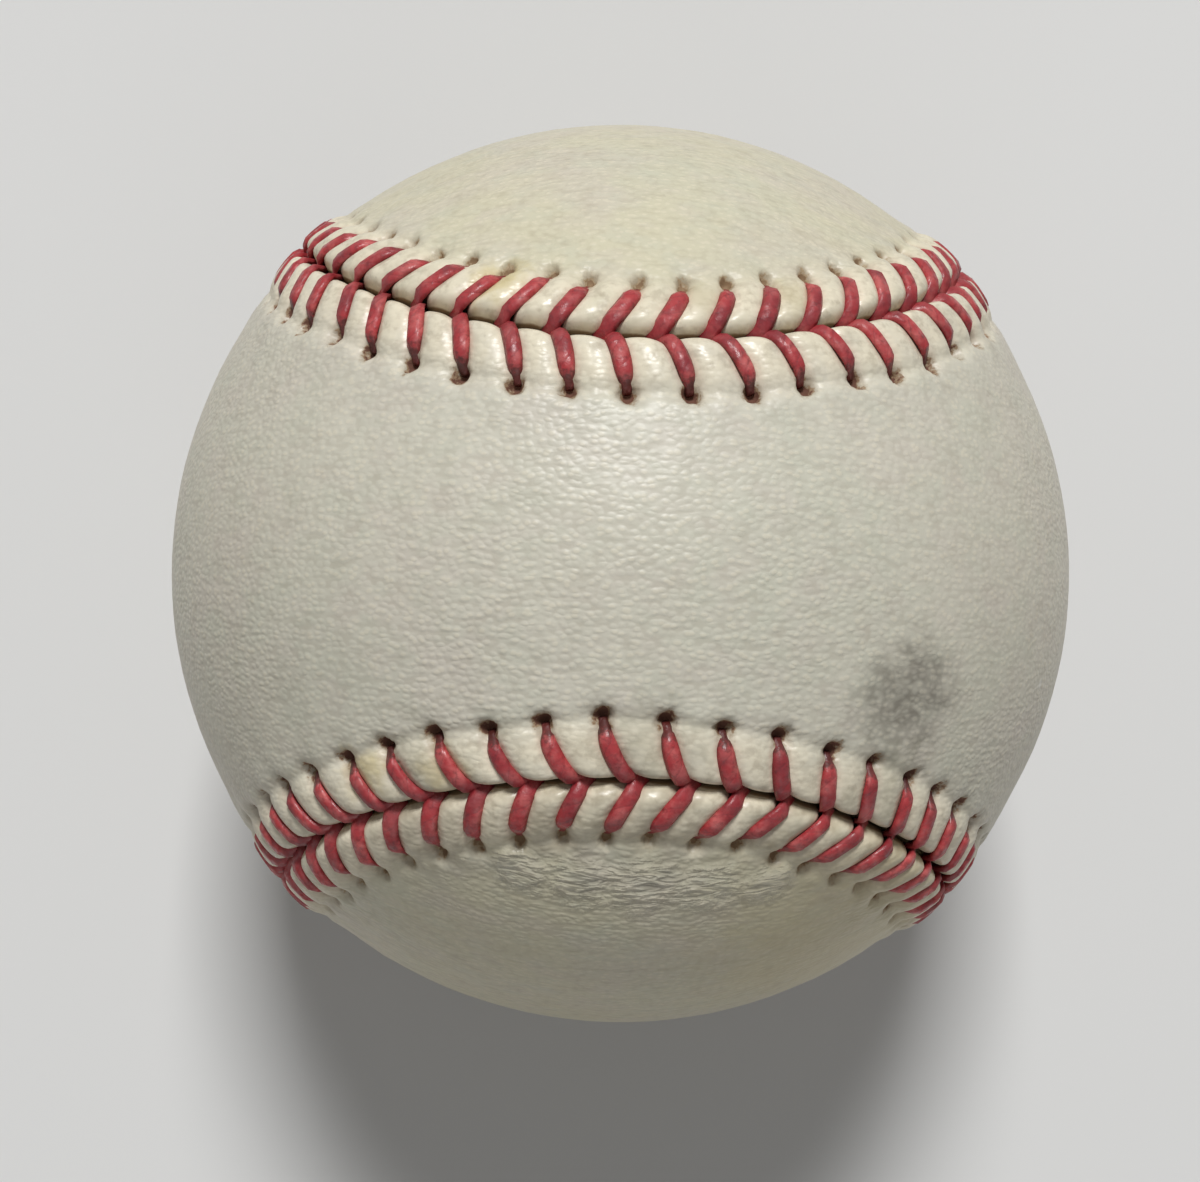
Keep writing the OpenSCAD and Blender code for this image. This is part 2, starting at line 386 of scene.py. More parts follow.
@dataclass(frozen=True)
class LeatherShape:
    """Relief of the leather beside the seam, and the density of its mesh."""

    thickness: float = 1.2
    pillow_height_a: float = 0.80
    pillow_height_b: float = 0.90
    pillow_rise: float = 0.42
    pillow_rise_power: float = 1.3
    pillow_fall: float = 5.0
    pillow_power_a: float = 2.3
    pillow_power_b: float = 4.0
    edge_curl: float = 0.95
    edge_curl_length: float = 0.22
    edge_curl_power: float = 0.9
    edge_gap: float = 0.1
    throat_half_width: float = 0.3
    corner_depth: float = 0.62
    corner_before: float = 0.3
    corner_after_a: float = 1.3
    corner_after_b: float = 0.6
    edge_evens_out: float = 2.2
    groove_half_width: float = 0.36
    groove_seat: float = 0.42
    groove_power: float = 2.4
    groove_fades: tuple[float, float] = (-0.2, 1.6)
    fullness_spread: float = 0.6
    hole_offset: float = 0.12
    hole_half_width: float = 0.48
    hole_half_length: float = 0.62
    hole_depth_a: float = 0.62
    hole_depth_b: float = 0.36
    hole_steepness: int = 4
    hole_lip: float = 0.07
    hole_lip_place: float = 1.45
    hole_lip_width: float = 0.35
    hole_line_valley: float = 0.2
    valley_half_width: float = 0.55
    dimple_depth: float = 0.16
    dimple_area: float = 1.5
    hole_raggedness: Swell = Swell(0.2, 1.1, 13)
    swells: tuple[Swell, ...] = (Swell(0.035, 7.0, 11), Swell(0.02, 2.6, 12))
    calm_distance: float = 16.0
    calm_swell: float = 0.4
    columns_a_stitch: int = 16
    column_crowding: float = 0.5
    field_rows: int = 12
    field_crowding: float = 0.9
    inner_rows: int = 4
    inner_field_rows: int = 4

    def pillow(self, distance: Array, side: Side) -> Array:
        """Height of the raised leather over the smooth ball, between two arms.

        Args:
            distance: Distance from the seam.
            side: Panel of the leather.

        Returns:
            Heights in millimetres.
        """
        height, power = self.pillow_height_a, self.pillow_power_a
        if side is Side.B:
            height, power = self.pillow_height_b, self.pillow_power_b
        outwards = np.maximum(distance, 0.0)
        rise = 1.0 - np.exp(-((outwards / self.pillow_rise) ** self.pillow_rise_power))
        return height * rise * np.exp(-((outwards / self.pillow_fall) ** power))

    def edge_distance(self, off_arm: Array, side: Side) -> Array:
        """Distance of the cut edge from the seam: the lobe between two arms has round corners.

        Args:
            off_arm: Distance along the seam from the nearest arm, positive after it.
            side: Panel of the edge.

        Returns:
            Distances in millimetres.
        """
        after = self.corner_after_a if side is Side.A else self.corner_after_b
        width = np.where(off_arm > 0.0, after, self.corner_before)
        share = np.clip((np.abs(off_arm) - self.throat_half_width) / width, 0.0, 1.0)
        return self.edge_gap + self.corner_depth * (1.0 - np.sqrt(1.0 - (1.0 - share) ** 2))


def sort_mesh(bm: Mesh) -> None:
    """Puts edges and faces in the order of their vertices, so that every run gives the same mesh.

    Args:
        bm: The mesh, whose operators may have made them in another order.
    """
    bm.verts.index_update()
    count = len(bm.verts)
    for items in (bm.edges, bm.faces):
        numbers = {item: [vert.index for vert in item.verts] for item in items}
        items.sort(key=lambda item: min(numbers[item]) * count + max(numbers[item]))


def finish_mesh(name: str, bm: Mesh, material: Material) -> Piece:
    """Turns a bmesh in metres into an object with one material and smooth faces.

    Args:
        name: Name of the piece.
        bm: The mesh, which is freed.
        material: The piece's material.

    Returns:
        The new object, at the origin.
    """
    for face in bm.faces:
        face.smooth = True
    mesh = bpy.data.meshes.new(name)
    bm.to_mesh(mesh)
    bm.free()
    mesh.materials.append(material)
    piece = bpy.data.objects.new(name, mesh)
    bpy.context.scene.collection.objects.link(piece)
    return piece


def seat_piece(piece: Piece, node: str) -> None:
    """Makes a piece ride on the ball's one body in place of a CAD node, and reports it.

    Args:
        piece: The new piece.
        node: Name of the CAD node that it stands for.
    """
    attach(piece, "root")
    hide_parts(node)
    LOG.info("%s: %d faces, in place of %s", piece.name, len(piece.data.polygons), node)


@dataclass(frozen=True)
class Lines:
    """Points over a panel, in arrays of (lines, rows), with each line running from the seam.

    The directions have length one, stitch is the stitch number, reach the distance from the seam
    and rim the distance from the cut edge.
    """

    directions: Array
    stitch: Array
    reach: Array
    rim: Array

    def joined(self, other: "Lines") -> "Lines":
        """Carries each line on over the middle, down the other side's line to its seam edge.

        Args:
            other: The lines of the other side.

        Returns:
            The long lines.
        """
        names = ("directions", "stitch", "reach", "rim")
        pairs = ((getattr(self, name), getattr(other, name)) for name in names)
        return Lines(*(np.concatenate([mine, theirs[:, -2::-1]], 1) for mine, theirs in pairs))


@dataclass
class CoverPanel:
    """One figure-eight panel of the cover, from its seam edge to its middle line."""

    seam: Seam
    side: Side
    shape: LeatherShape
    thread: ThreadShape
    edge_step: float = 0.09
    edge_step_growth: float = 0.3
    roll_step: float = 0.34
    field_step: float = 0.8
    hole_step: float = 0.15
    hole_step_growth: float = 0.28
    hole_zone: float = 0.45

    def row_distances(self) -> Array:
        """Spaces the mesh's rows, close together at the edge and the holes.

        Returns:
            The rows' distances from the seam.
        """
        rows = [0.0]
        hole = self.seam.hole_distance + self.shape.hole_offset
        while rows[-1] < self.seam.smooth_distance:
            here = rows[-1]
            from_hole = max(0.0, abs(here - hole) - self.hole_zone)
            step = min(
                self.edge_step + self.edge_step_growth * here,
                self.roll_step if here < hole else self.field_step,
                self.hole_step + self.hole_step_growth * from_hole,
            )
            rows.append(here + step)
        return np.array(rows) * (self.seam.smooth_distance / rows[-1])

    def pillows(self, lines: Lines) -> Array:
        """Height of the leather that swells between the arms and lies low under them.

        Args:
            lines: The points of the sheet.

        Returns:
            Heights in millimetres.
        """
        shape, distance, hole = self.shape, lines.reach, self.seam.hole_distance
        uneven = self.seam.drift(lines.stitch, self.side, Uneven.FULLNESS)
        pillow = shape.pillow(distance, self.side) * (1.0 + shape.fullness_spread * uneven)
        seat = shape.pillow(distance, self.side) - self.thread.sink
        seat = seat - shape.groove_seat * self.thread.thickness
        groove, half_pitch = shape.groove_half_width, self.seam.pitch / 2.0
        share = np.clip((self.across(lines) - groove) / (half_pitch - groove), 0.0, 1.0)
        bulge = 1.0 - (1.0 - share) ** shape.groove_power
        starts, ends = shape.groove_fades
        fade = 1.0 - smooth(distance, hole + starts, hole + ends)
        return pillow + (np.minimum(seat, pillow) - pillow) * (1.0 - bulge) * fade

    def needle_holes(self, lines: Lines) -> Array:
        """Height that the needle holes take from the leather, with their lips and their valley.

        Args:
            lines: The points of the sheet.

        Returns:
            Heights in millimetres, mostly negative.
        """
        shape, across = self.shape, self.across(lines)
        off_hole = lines.reach - self.seam.hole_distance - shape.hole_offset
        from_hole = np.hypot(across / shape.hole_half_width, off_hole / shape.hole_half_length)
        from_hole *= 1.0 + shape.hole_raggedness.at(lines.directions * self.seam.radius)
        depth = shape.hole_depth_a if self.side is Side.A else shape.hole_depth_b
        height = -depth * np.exp(-(from_hole**shape.hole_steepness))
        off_lip = (from_hole - shape.hole_lip_place) / shape.hole_lip_width
        height += shape.hole_lip * np.exp(-(off_lip**2))
        height -= shape.dimple_depth * np.exp(-(across**2 + off_hole**2) / shape.dimple_area)
        height -= shape.hole_line_valley * np.exp(-((off_hole / shape.valley_half_width) ** 2))
        return height

    def relief(self, lines: Lines) -> Array:
        """Height of the leather above the smooth ball.

        Args:
            lines: The points of the sheet.

        Returns:
            Heights in millimetres.
        """
        shape, smooth_from = self.shape, self.seam.smooth_distance
        height = self.pillows(lines) + self.needle_holes(lines)
        curl = (lines.rim / shape.edge_curl_length) ** shape.edge_curl_power
        height -= shape.edge_curl * np.exp(-curl)
        for swell in shape.swells:
            height += swell.at(lines.directions * self.seam.radius)
        calm = 1.0 - smooth(lines.reach, smooth_from, shape.calm_distance)
        swelling = shape.calm_swell + (1.0 - shape.calm_swell) * calm
        return height * np.where(lines.reach > smooth_from, swelling, 1.0)

    def across(self, lines: Lines) -> Array:
        """Distance along the seam from the nearest arm, never negative."""
        return np.abs(lines.stitch - np.round(lines.stitch)) * self.seam.pitch

    def half(self, numbers: Array, others: Array, rows: Array, field_rows: int) -> Lines:
        """Works out one side of the panel, from the seam edge to the middle line.

        Args:
            numbers: Stitch number of each line across the panel, on this side.
            others: Stitch number of the same lines on the other side.
            rows: Distances of the rows near the seam.
            field_rows: Number of rows from there to the middle line.

        Returns:
            The points, with one line for each stitch number.
        """
        off_arm = (numbers - np.round(numbers)) * self.seam.pitch
        edge_distance = self.shape.edge_distance(off_arm, self.side)
        ragged = 1.0 - smooth(rows, 0.0, self.shape.edge_evens_out)
        distance = rows[None, :] + edge_distance[:, None] * ragged[None, :]
        near = self.seam.over_panel(numbers[:, None] + 0.0 * distance, distance, self.side)
        last = near[:, -1]
        across_from = self.seam.over_panel(others, np.full_like(others, rows[-1]), self.side)
        middles = [self.seam.middle_line(ends, self.side) for ends in (last, across_from)]
        spine = unit(middles[0] + middles[1])
        shares = (np.arange(1, field_rows + 1) / field_rows) ** self.shape.field_crowding
        field_part = blend_directions(last[:, None], spine[:, None], shares[None, :, None])
        cosine = np.clip((last[:, None] * field_part).sum(-1), -1.0, 1.0)
        turned = np.arccos(cosine) * self.seam.radius
        count = len(rows) + field_rows
        return Lines(
            np.concatenate([near, field_part], 1),
            np.repeat(numbers[:, None], count, 1),
            np.concatenate([distance, rows[-1] + turned], 1),
            np.concatenate([np.repeat(rows[None, :], len(numbers), 0), rows[-1] + turned], 1),
        )

    def sheet(self, rows: Array, field_rows: int) -> Lines:
        """Works out the whole panel, as lines from seam edge to seam edge.

        Args:
            rows: Distances of the rows near the seam.
            field_rows: Number of rows from there to the middle line.

        Returns:
            The points of the sheet.
        """
        count = self.seam.stitches * self.shape.columns_a_stitch // 2
        steps = np.arange(count + 1) / self.shape.columns_a_stitch
        tip = self.seam.tip(self.side)
        crowding = self.shape.column_crowding / (2.0 * math.pi)
        left, right = tip + steps, tip - steps
        left = left - crowding * np.sin(2.0 * math.pi * left)
        right = right - crowding * np.sin(2.0 * math.pi * right)
        near_side = self.half(left, right, rows, field_rows)
        return near_side.joined(self.half(right, left, rows, field_rows))

    def grid(self, bm: Mesh, lines: Lines, radii: Array) -> list[bmesh.types.BMVert]:
        """Adds a grid, moves its vertices to the sheet's points and notes where they lie.

        Args:
            bm: Mesh that gets the grid.
            lines: The points of the sheet.
            radii: Distance of each point from the ball's centre.

        Returns:
            The new vertices.
        """
        count, rows = lines.stitch.shape
        segments = {"x_segments": count - 1, "y_segments": rows - 1}
        made = bmesh.ops.create_grid(bm, size=1.0, **segments)["verts"]
        places = lines.directions * (radii * MM)[..., None]
        notes = {"across": self.across(lines), "reach": lines.reach, "rim": lines.rim}
        layers = {name: bm.verts.layers.float[name] for name in notes}
        for vert in made:
            i = round((vert.co.x + 1.0) / 2.0 * (count - 1))
            j = round((vert.co.y + 1.0) / 2.0 * (rows - 1))
            vert.co = places[i, j]
            for name, layer in layers.items():
                vert[layer] = notes[name][i, j]
        return made

    def build(self, name: str, material: Material) -> Piece:
        """Builds the panel as a closed mesh: the outer leather, the flesh side and the cut edge.

        Args:
            name: Name of the piece.
            material: The leather.

        Returns:
            The panel.
        """
        bm = bmesh.new()
        for note in ("across", "reach", "rim"):
            bm.verts.layers.float.new(note)
        lines = self.sheet(self.row_distances(), self.shape.field_rows)
        outer = self.grid(bm, lines, self.seam.radius + self.relief(lines))
        bmesh.ops.remove_doubles(bm, verts=outer, dist=MERGE_DISTANCE)
        under = self.seam.radius - self.shape.thickness
        rim = [edge for edge in bm.edges if edge.is_boundary]
        cut_edge = bmesh.ops.extrude_edge_only(bm, edges=rim)["geom"]
        lower_rim = [item for item in cut_edge if isinstance(item, bmesh.types.BMVert)]
        for vert in lower_rim:
            vert.co = vert.co.normalized() * under * MM
        rows = np.linspace(0.0, self.seam.smooth_distance, self.shape.inner_rows)
        lines = self.sheet(rows, self.shape.inner_field_rows)
        inner = self.grid(bm, lines, np.full_like(lines.reach, under))
        bmesh.ops.remove_doubles(bm, verts=lower_rim + inner, dist=MERGE_DISTANCE)
        bmesh.ops.recalc_face_normals(bm, faces=bm.faces)
        sort_mesh(bm)
        return finish_mesh(name, bm, material)


@dataclass
class Stitching:
    """The arms of the thread over one panel, each from its needle hole down into the seam."""

    seam: Seam
    side: Side
    thread: ThreadShape
    leather: LeatherShape
    around: int = 6
    ring_shares: tuple[float, ...] = (
        0.0, 0.04, 0.09, 0.15, 0.22, 0.31, 0.43, 0.57, 0.71, 0.83, 0.92, 1.0
    )
    hole_reach: float = -0.12
    gap_reach: float = 0.28
    hole_dip: float = 1.0
    hole_dip_start: float = -0.1
    hole_dip_length_a: float = 1.2
    hole_dip_length_b: float = 1.5
    gap_dip: float = 0.38
    gap_dip_length: float = 0.5
    look_ahead: float = 0.05
    seed: int = 7

    def template(self) -> Mesh:
        """Makes a straight arm of radius one along Z, from 0 to 1, with its twist coordinates.

        Returns:
            The arm, with rings of vertices at the ring shares.
        """
        bm = bmesh.new()
        spans = len(self.ring_shares) - 1
        size = {"segments": self.around, "radius1": 1.0, "radius2": 1.0, "depth": 1.0}
        bmesh.ops.create_cone(bm, cap_ends=True, **size)
        ends = [(edge, [vert.co.z for vert in edge.verts]) for edge in bm.edges]
        lengthwise = [edge for edge, heights in ends if max(heights) - min(heights) > 0.5]
        bmesh.ops.subdivide_edges(bm, edges=lengthwise, cuts=spans - 1, use_grid_fill=True)
        for vert in bm.verts:
            vert.co.z = self.ring_shares[round((vert.co.z + 0.5) * spans)]
        twist = bm.loops.layers.uv.new("twist")
        for face in bm.faces:
            places = [loop.vert.co for loop in face.loops]
            turns = [math.atan2(place.y, place.x) / (2.0 * math.pi) for place in places]
            wraps = max(turns) - min(turns) > 0.5
            for loop, turn in zip(face.loops, turns):
                whole = 1.0 if wraps and turn < 0.0 else 0.0
                loop[twist].uv = (turn + whole, loop.vert.co.z)
        return bm

    def path(self, share: Array) -> tuple[Array, Array, Array]:
        """Middle line of every arm.

        Args:
            share: Share of the way from the hole to the seam.

        Returns:
            Points of shape (arms, shares, 3), and the directions out and across there.
        """
        hole = self.seam.hole_distance + self.hole_reach
        numbers = np.arange(self.seam.stitches, dtype=float)[:, None] + 0.0 * share[None, :]
        distance = hole - share * (hole + self.gap_reach)
        out = self.seam.over_panel(numbers, distance[None, :] + 0.0 * numbers, self.side)
        dip_length = self.hole_dip_length_a if self.side is Side.A else self.hole_dip_length_b
        dip = self.hole_dip * (1.0 - smooth(hole - distance, self.hole_dip_start, dip_length))
        dip += self.gap_dip * (1.0 - smooth(distance, -self.gap_reach, self.gap_dip_length))
        level = self.leather.pillow(distance, self.side) - self.thread.sink
        points = out * (self.seam.radius + level - dip)[None, :, None]
        further = (distance - self.look_ahead)[None, :] + 0.0 * numbers
        ahead = self.seam.over_panel(numbers, further, self.side)
        return points, out, unit(np.cross(ahead - out, out))

    def build(self, name: str, material: Material) -> Piece:
        """Builds all the arms over one panel.

        Args:
            name: Name of the piece.
            material: The waxed thread.

        Returns:
            The arms, as one piece.
        """
        straight = self.template()
        shape = np.array([vert.co[:] for vert in straight.verts])
        arm = bpy.data.meshes.new("straight_arm")
        straight.to_mesh(arm)
        straight.free()
        share, angle = shape[:, 2], np.arctan2(-shape[:, 0], shape[:, 1])
        points, out, across = self.path(share)
        thread = self.thread
        taper = (thread.taper_a if self.side is Side.A else thread.taper_b).width(share)
        rng = np.random.default_rng(self.side.value + self.seed)
        spread = rng.uniform(thread.narrowest, thread.widest, (self.seam.stitches, 1))
        section = np.sign(np.cos(angle)) * np.abs(np.cos(angle)) ** thread.flatness
        sideways = thread.width * spread / 2.0 * (taper * section)[None, :]
        rounded = thread.thin_share + (1.0 - thread.thin_share) * taper
        upward = thread.thickness / 2.0 * (np.sin(angle) * rounded)[None, :]
        places = points + across * sideways[..., None] + out * upward[..., None]
        bm = bmesh.new()
        for arm_places in places * MM:
            start = len(bm.verts)
            bm.from_mesh(arm)
            bm.verts.ensure_lookup_table()
            for offset, place in enumerate(arm_places):
                bm.verts[start + offset].co = place
        bpy.data.meshes.remove(arm)
        bmesh.ops.reverse_faces(bm, faces=bm.faces)
        return finish_mesh(name, bm, material)


@dataclass
class Winding:
    """One layer of yarn, wound over and over round the ball along great circles."""

    inner: float
    outer: float
    half_width: float
    turns: int
    relief: float
    seed: int
    ply: Ply
    twist_length: float = 8.0
    slant: float = 0.45
    level_spread: float = 0.4
    crown: float = 0.6
    divisions: int = 7
    inner_divisions: int = 5
    askew: Direction = (0.31, 0.52, 0.79)

    def surface(self, directions: Array) -> tuple[Array, Array, Array, Array]:
        """Finds the topmost turn of yarn at each direction.

        Args:
            directions: Directions of length one.

        Returns:
            The radius there, the share of the way across that turn from -1 to 1, the height of
            its twisted strands from 0 to 1, and the turn's own shade from 0 to 1.
        """
        rng = np.random.default_rng(self.seed)
        axes = unit(rng.normal(size=(self.turns, 3)))
        levels = np.sort(rng.uniform(0.0, self.level_spread, self.turns))
        shades = rng.uniform(0.0, 1.0, self.turns)
        best = np.full(len(directions), -1.0)
        across, strands, shade = (np.zeros_like(best) for _ in range(3))
        for axis, level, tint in zip(axes, levels, shades):
            share = np.arcsin(np.clip(directions @ axis, -1.0, 1.0)) * self.outer / self.half_width
            rounded = level + self.crown * np.sqrt(np.maximum(0.0, 1.0 - share**2))
            height = np.where(np.abs(share) < 1.0, rounded, -1.0)
            first = unit(np.cross(axis, self.askew))
            angle = np.arctan2(directions @ np.cross(axis, first), directions @ first)
            twists = angle * self.outer * self.ply.value / self.twist_length + self.slant * share
            top = height > best
            best[top], across[top] = height[top], share[top]
            strands[top], shade[top] = 0.5 + 0.5 * np.cos(2.0 * math.pi * twists[top]), tint
        radius = self.outer - self.relief * (1.0 - np.clip(best, 0.0, 1.0))
        return radius, across, strands, shade

    def build(self, name: str, material: Material) -> Piece:
        """Builds the layer as a closed shell, rough outside and smooth inside.

        Args:
            name: Name of the piece.
            material: The yarn.

        Returns:
            The layer.
        """
        bm = bmesh.new()
        layers = [bm.verts.layers.float.new(note) for note in ("lay", "strands", "shade")]
        size = {"subdivisions": self.divisions, "radius": 1.0}
        outside = bmesh.ops.create_icosphere(bm, **size)["verts"]
        directions = unit(np.array([vert.co[:] for vert in outside]))
        radius, *notes = self.surface(directions)
        places = directions * (radius * MM)[:, None]
        for vert, place, values in zip(outside, places, zip(*notes)):
            vert.co = place
            for layer, value in zip(layers, values):
                vert[layer] = value
        size = {"subdivisions": self.inner_divisions, "radius": self.inner * MM}
        inside = bmesh.ops.create_icosphere(bm, **size)["verts"]
        inner_faces = {face for vert in inside for face in vert.link_faces}
        bmesh.ops.reverse_faces(bm, faces=list(inner_faces))
        return finish_mesh(name, bm, material)


@dataclass
class CorkCore:
    """The composition cork at the centre, pressed from granules that leave fine creases."""

    radius: float
    granules: int = 420
    crease: float = 0.22
    crease_width: float = 0.3
    divisions: int = 6
    seed: int = 5

    def build(self, name: str, material: Material) -> Piece:
        """Builds the core.

        Args:
            name: Name of the piece.
            material: The cork.

        Returns:
            The core.
        """
        bm = bmesh.new()
        shade_layer = bm.verts.layers.float.new("shade")
        size = {"subdivisions": self.divisions, "radius": 1.0}
        verts = bmesh.ops.create_icosphere(bm, **size)["verts"]
        directions = unit(np.array([vert.co[:] for vert in verts]))
        rng = np.random.default_rng(self.seed)
        centres = unit(rng.normal(size=(self.granules, 3)))
        shades = rng.uniform(0.0, 1.0, self.granules)
        apart = np.arccos(np.clip(directions @ centres.T, -1.0, 1.0)) * self.radius
        nearest = np.argsort(apart, axis=1)[:, :2]
        first, second = np.take_along_axis(apart, nearest, 1).T
        radius = self.radius - self.crease * np.exp(-((second - first) / self.crease_width))
        places = directions * (radius * MM)[:, None]
        for vert, place, shade in zip(verts, places, shades[nearest[:, 0]]):
            vert.co = place
            vert[shade_layer] = shade
        return finish_mesh(name, bm, material)


@dataclass(frozen=True)
class Ramp:
    """A smooth change of a value, from first to last while another goes from start to end."""

    start: Value
    end: Value
    first: float = 0.0
    last: float = 1.0


@dataclass(frozen=True)
class Noise:
    """A cloudy value: its scale in waves a metre, its detail, roughness and distortion."""

    scale: Value
    detail: float = 2.0
    roughness: float = 0.5
    distortion: float = 0.0


@dataclass(frozen=True)
class Mottle:
    """Clouds of a second colour: their scale, where they begin and are full, and their strength."""

    scale: float
    low: float
    high: float
    strength: float


@dataclass(frozen=True)
class Bump:
    """How strongly a height shows as relief, and how high it stands in metres."""

    strength: float
    distance: float


class Nodes:
    """Builds shader nodes in a tree, with short calls for the common ones."""

    def __init__(self, tree: Tree) -> None:
        """Keeps the tree that the nodes go into."""
        self.tree = tree

    def add(self, kind: str, inputs: dict | None = None, **settings: object) -> bpy.types.Node:
        """Adds a node.

        Args:
            kind: Blender's name of the node type.
            inputs: Values or sockets for inputs, by name or number.
            **settings: Attributes of the node.

        Returns:
            The new node.
        """
        node = self.tree.nodes.new(kind)
        for name, value in settings.items():
            setattr(node, name, value)
        for key, value in (inputs or {}).items():
            if isinstance(value, Socket):
                self.tree.links.new(value, node.inputs[key])
            else:
                node.inputs[key].default_value = value
        return node

    def math(self, operation: str, *values: Value, clamp: bool = False) -> Socket:
        """Adds a Math node.

        Args:
            operation: Blender's name of the operation.
            *values: The node's inputs in order.
            clamp: Whether the result is kept between 0 and 1.

        Returns:
            The result.
        """
        settings = {"operation": operation, "use_clamp": clamp}
        return self.add("ShaderNodeMath", dict(enumerate(values)), **settings).outputs[0]

    def times(self, *factors: Value) -> Socket:
        """Multiplies values.

        Args:
            *factors: Two or more values, the first of them a socket.

        Returns:
            The product.
        """
        product = factors[0]
        for factor in factors[1:]:
            product = self.math("MULTIPLY", product, factor)
        return product

    def vector(self, operation: str, *values: Socket | Sequence[float]) -> bpy.types.Node:
        """Adds a Vector Math node.

        Args:
            operation: Blender's name of the operation.
            *values: The node's inputs in order.

        Returns:
            The new node.
        """
        inputs = dict(enumerate(values))
        return self.add("ShaderNodeVectorMath", inputs, operation=operation)

    def ramp(self, value: Socket, ramp: Ramp) -> Socket:
        """Lets one value change smoothly with another.

        Args:
            value: The value that leads.
            ramp: How the result follows it.

        Returns:
            The result.
        """
        inputs = {"Value": value, "From Min": ramp.start, "From Max": ramp.end}
        inputs |= {"To Min": ramp.first, "To Max": ramp.last}
        settings = {"interpolation_type": "SMOOTHSTEP"}
        return self.add("ShaderNodeMapRange", inputs, **settings).outputs["Result"]

    def noise(self, place: Socket, noise: Noise) -> Socket:
        """Adds a Noise Texture.

        Args:
            place: Coordinates of the noise.
            noise: Its scale and character.

        Returns:
            The noise, from 0 to 1.
        """
        inputs = {"Vector": place, "Scale": noise.scale, "Detail": noise.detail}
        inputs |= {"Roughness": noise.roughness, "Distortion": noise.distortion}
        return self.add("ShaderNodeTexNoise", inputs).outputs["Fac"]

    def mix(self, factor: Value, first: Socket | Colour, second: Socket | Colour) -> Socket:
        """Mixes two colours.

        Args:
            factor: Share of the second colour.
            first: A colour, as a socket or three numbers.
            second: The other colour.

        Returns:
            The mixed colour.
        """
        settings = {"data_type": "RGBA", "blend_type": "MIX", "clamp_factor": True}
        colours = [part if isinstance(part, Socket) else (*part, 1.0) for part in (first, second)]
        inputs = dict(zip(MIX_INPUTS, (factor, *colours)))
        return self.add("ShaderNodeMix", inputs, **settings).outputs[MIX_OUTPUT]

    def attribute(self, name: str) -> Socket:
        """Reads a number that the mesh holds at its vertices."""
        return self.add("ShaderNodeAttribute", attribute_name=name).outputs["Fac"]

    def place(self, turn: Direction = (0.0, 0.0, 0.0)) -> Socket:
        """Gives object coordinates.

        Args:
            turn: Angles in radians by which they are turned.

        Returns:
            The coordinates.
        """
        coordinates = self.add("ShaderNodeTexCoord").outputs["Object"]
        inputs = {"Vector": coordinates, "Rotation": turn}
        return self.add("ShaderNodeMapping", inputs).outputs["Vector"]

    def bump(self, height: Socket, bump: Bump) -> Socket:
        """Turns a height into normals."""
        inputs = {"Height": height, "Strength": bump.strength, "Distance": bump.distance}
        return self.add("ShaderNodeBump", inputs).outputs["Normal"]

    def mottle(self, tree: Tree, place: Socket, mottle: Mottle) -> Socket:
        """Places the mottle group and scales its mask.

        Args:
            tree: The mottle group.
            place: Coordinates of the clouds.
            mottle: Their size and strength.

        Returns:
            The mask.
        """
        inputs = {"Vector": place, "Scale": mottle.scale, "Low": mottle.low, "High": mottle.high}
        return self.times(self.group(tree, inputs).outputs["Mask"], mottle.strength)

    def group(self, tree: Tree, inputs: dict) -> bpy.types.Node:
        """Places a node group with given inputs."""
        return self.add("ShaderNodeGroup", inputs, node_tree=tree)


def new_group(
    name: str, inputs: dict[str, tuple[str, object]], outputs: dict[str, str]
) -> tuple[Nodes, bpy.types.Node, bpy.types.Node]:
    """Makes an empty shader node group.

    Args:
        name: Name of the group.
        inputs: Socket type and default value of each input.
        outputs: Socket type of each output.

    Returns:
        The node builder, the group's input node and its output node.
    """
    tree = bpy.data.node_groups.new(name, "ShaderNodeTree")
    for label, (kind, value) in inputs.items():
        socket = tree.interface.new_socket(label, in_out="INPUT", socket_type=kind)
        if value is not None:
            socket.default_value = value
    for label, kind in outputs.items():
        tree.interface.new_socket(label, in_out="OUTPUT", socket_type=kind)
    nodes = Nodes(tree)
    return nodes, nodes.add("NodeGroupInput"), nodes.add("NodeGroupOutput")


def soft_spot_group() -> Tree:
    """Makes the group for a stain: a mask round a point, with a ragged edge.

    Returns:
        The group.
    """
    nodes, given, result = new_group(
        "soft_spot",
        {
            "Vector": ("NodeSocketVector", None),
            "Centre": ("NodeSocketVector", None),
            "Radius": ("NodeSocketFloat", 0.003),
            "Ragged": ("NodeSocketFloat", 0.5),
        },
        {"Mask": "NodeSocketFloat"},
    )
    place = given.outputs["Vector"]
    distance = nodes.vector("DISTANCE", place, given.outputs["Centre"]).outputs["Value"]
    share = nodes.math("DIVIDE", distance, given.outputs["Radius"])
    shift = nodes.math("SUBTRACT", nodes.noise(place, Noise(scale=700.0, detail=3.0)), 0.5)
    ragged = nodes.times(shift, given.outputs["Ragged"])
    edge = nodes.math("MULTIPLY_ADD", ragged, 3.0, share)
    mask = nodes.ramp(edge, Ramp(start=1.15, end=0.3))
    nodes.tree.links.new(mask, result.inputs["Mask"])
    return nodes.tree


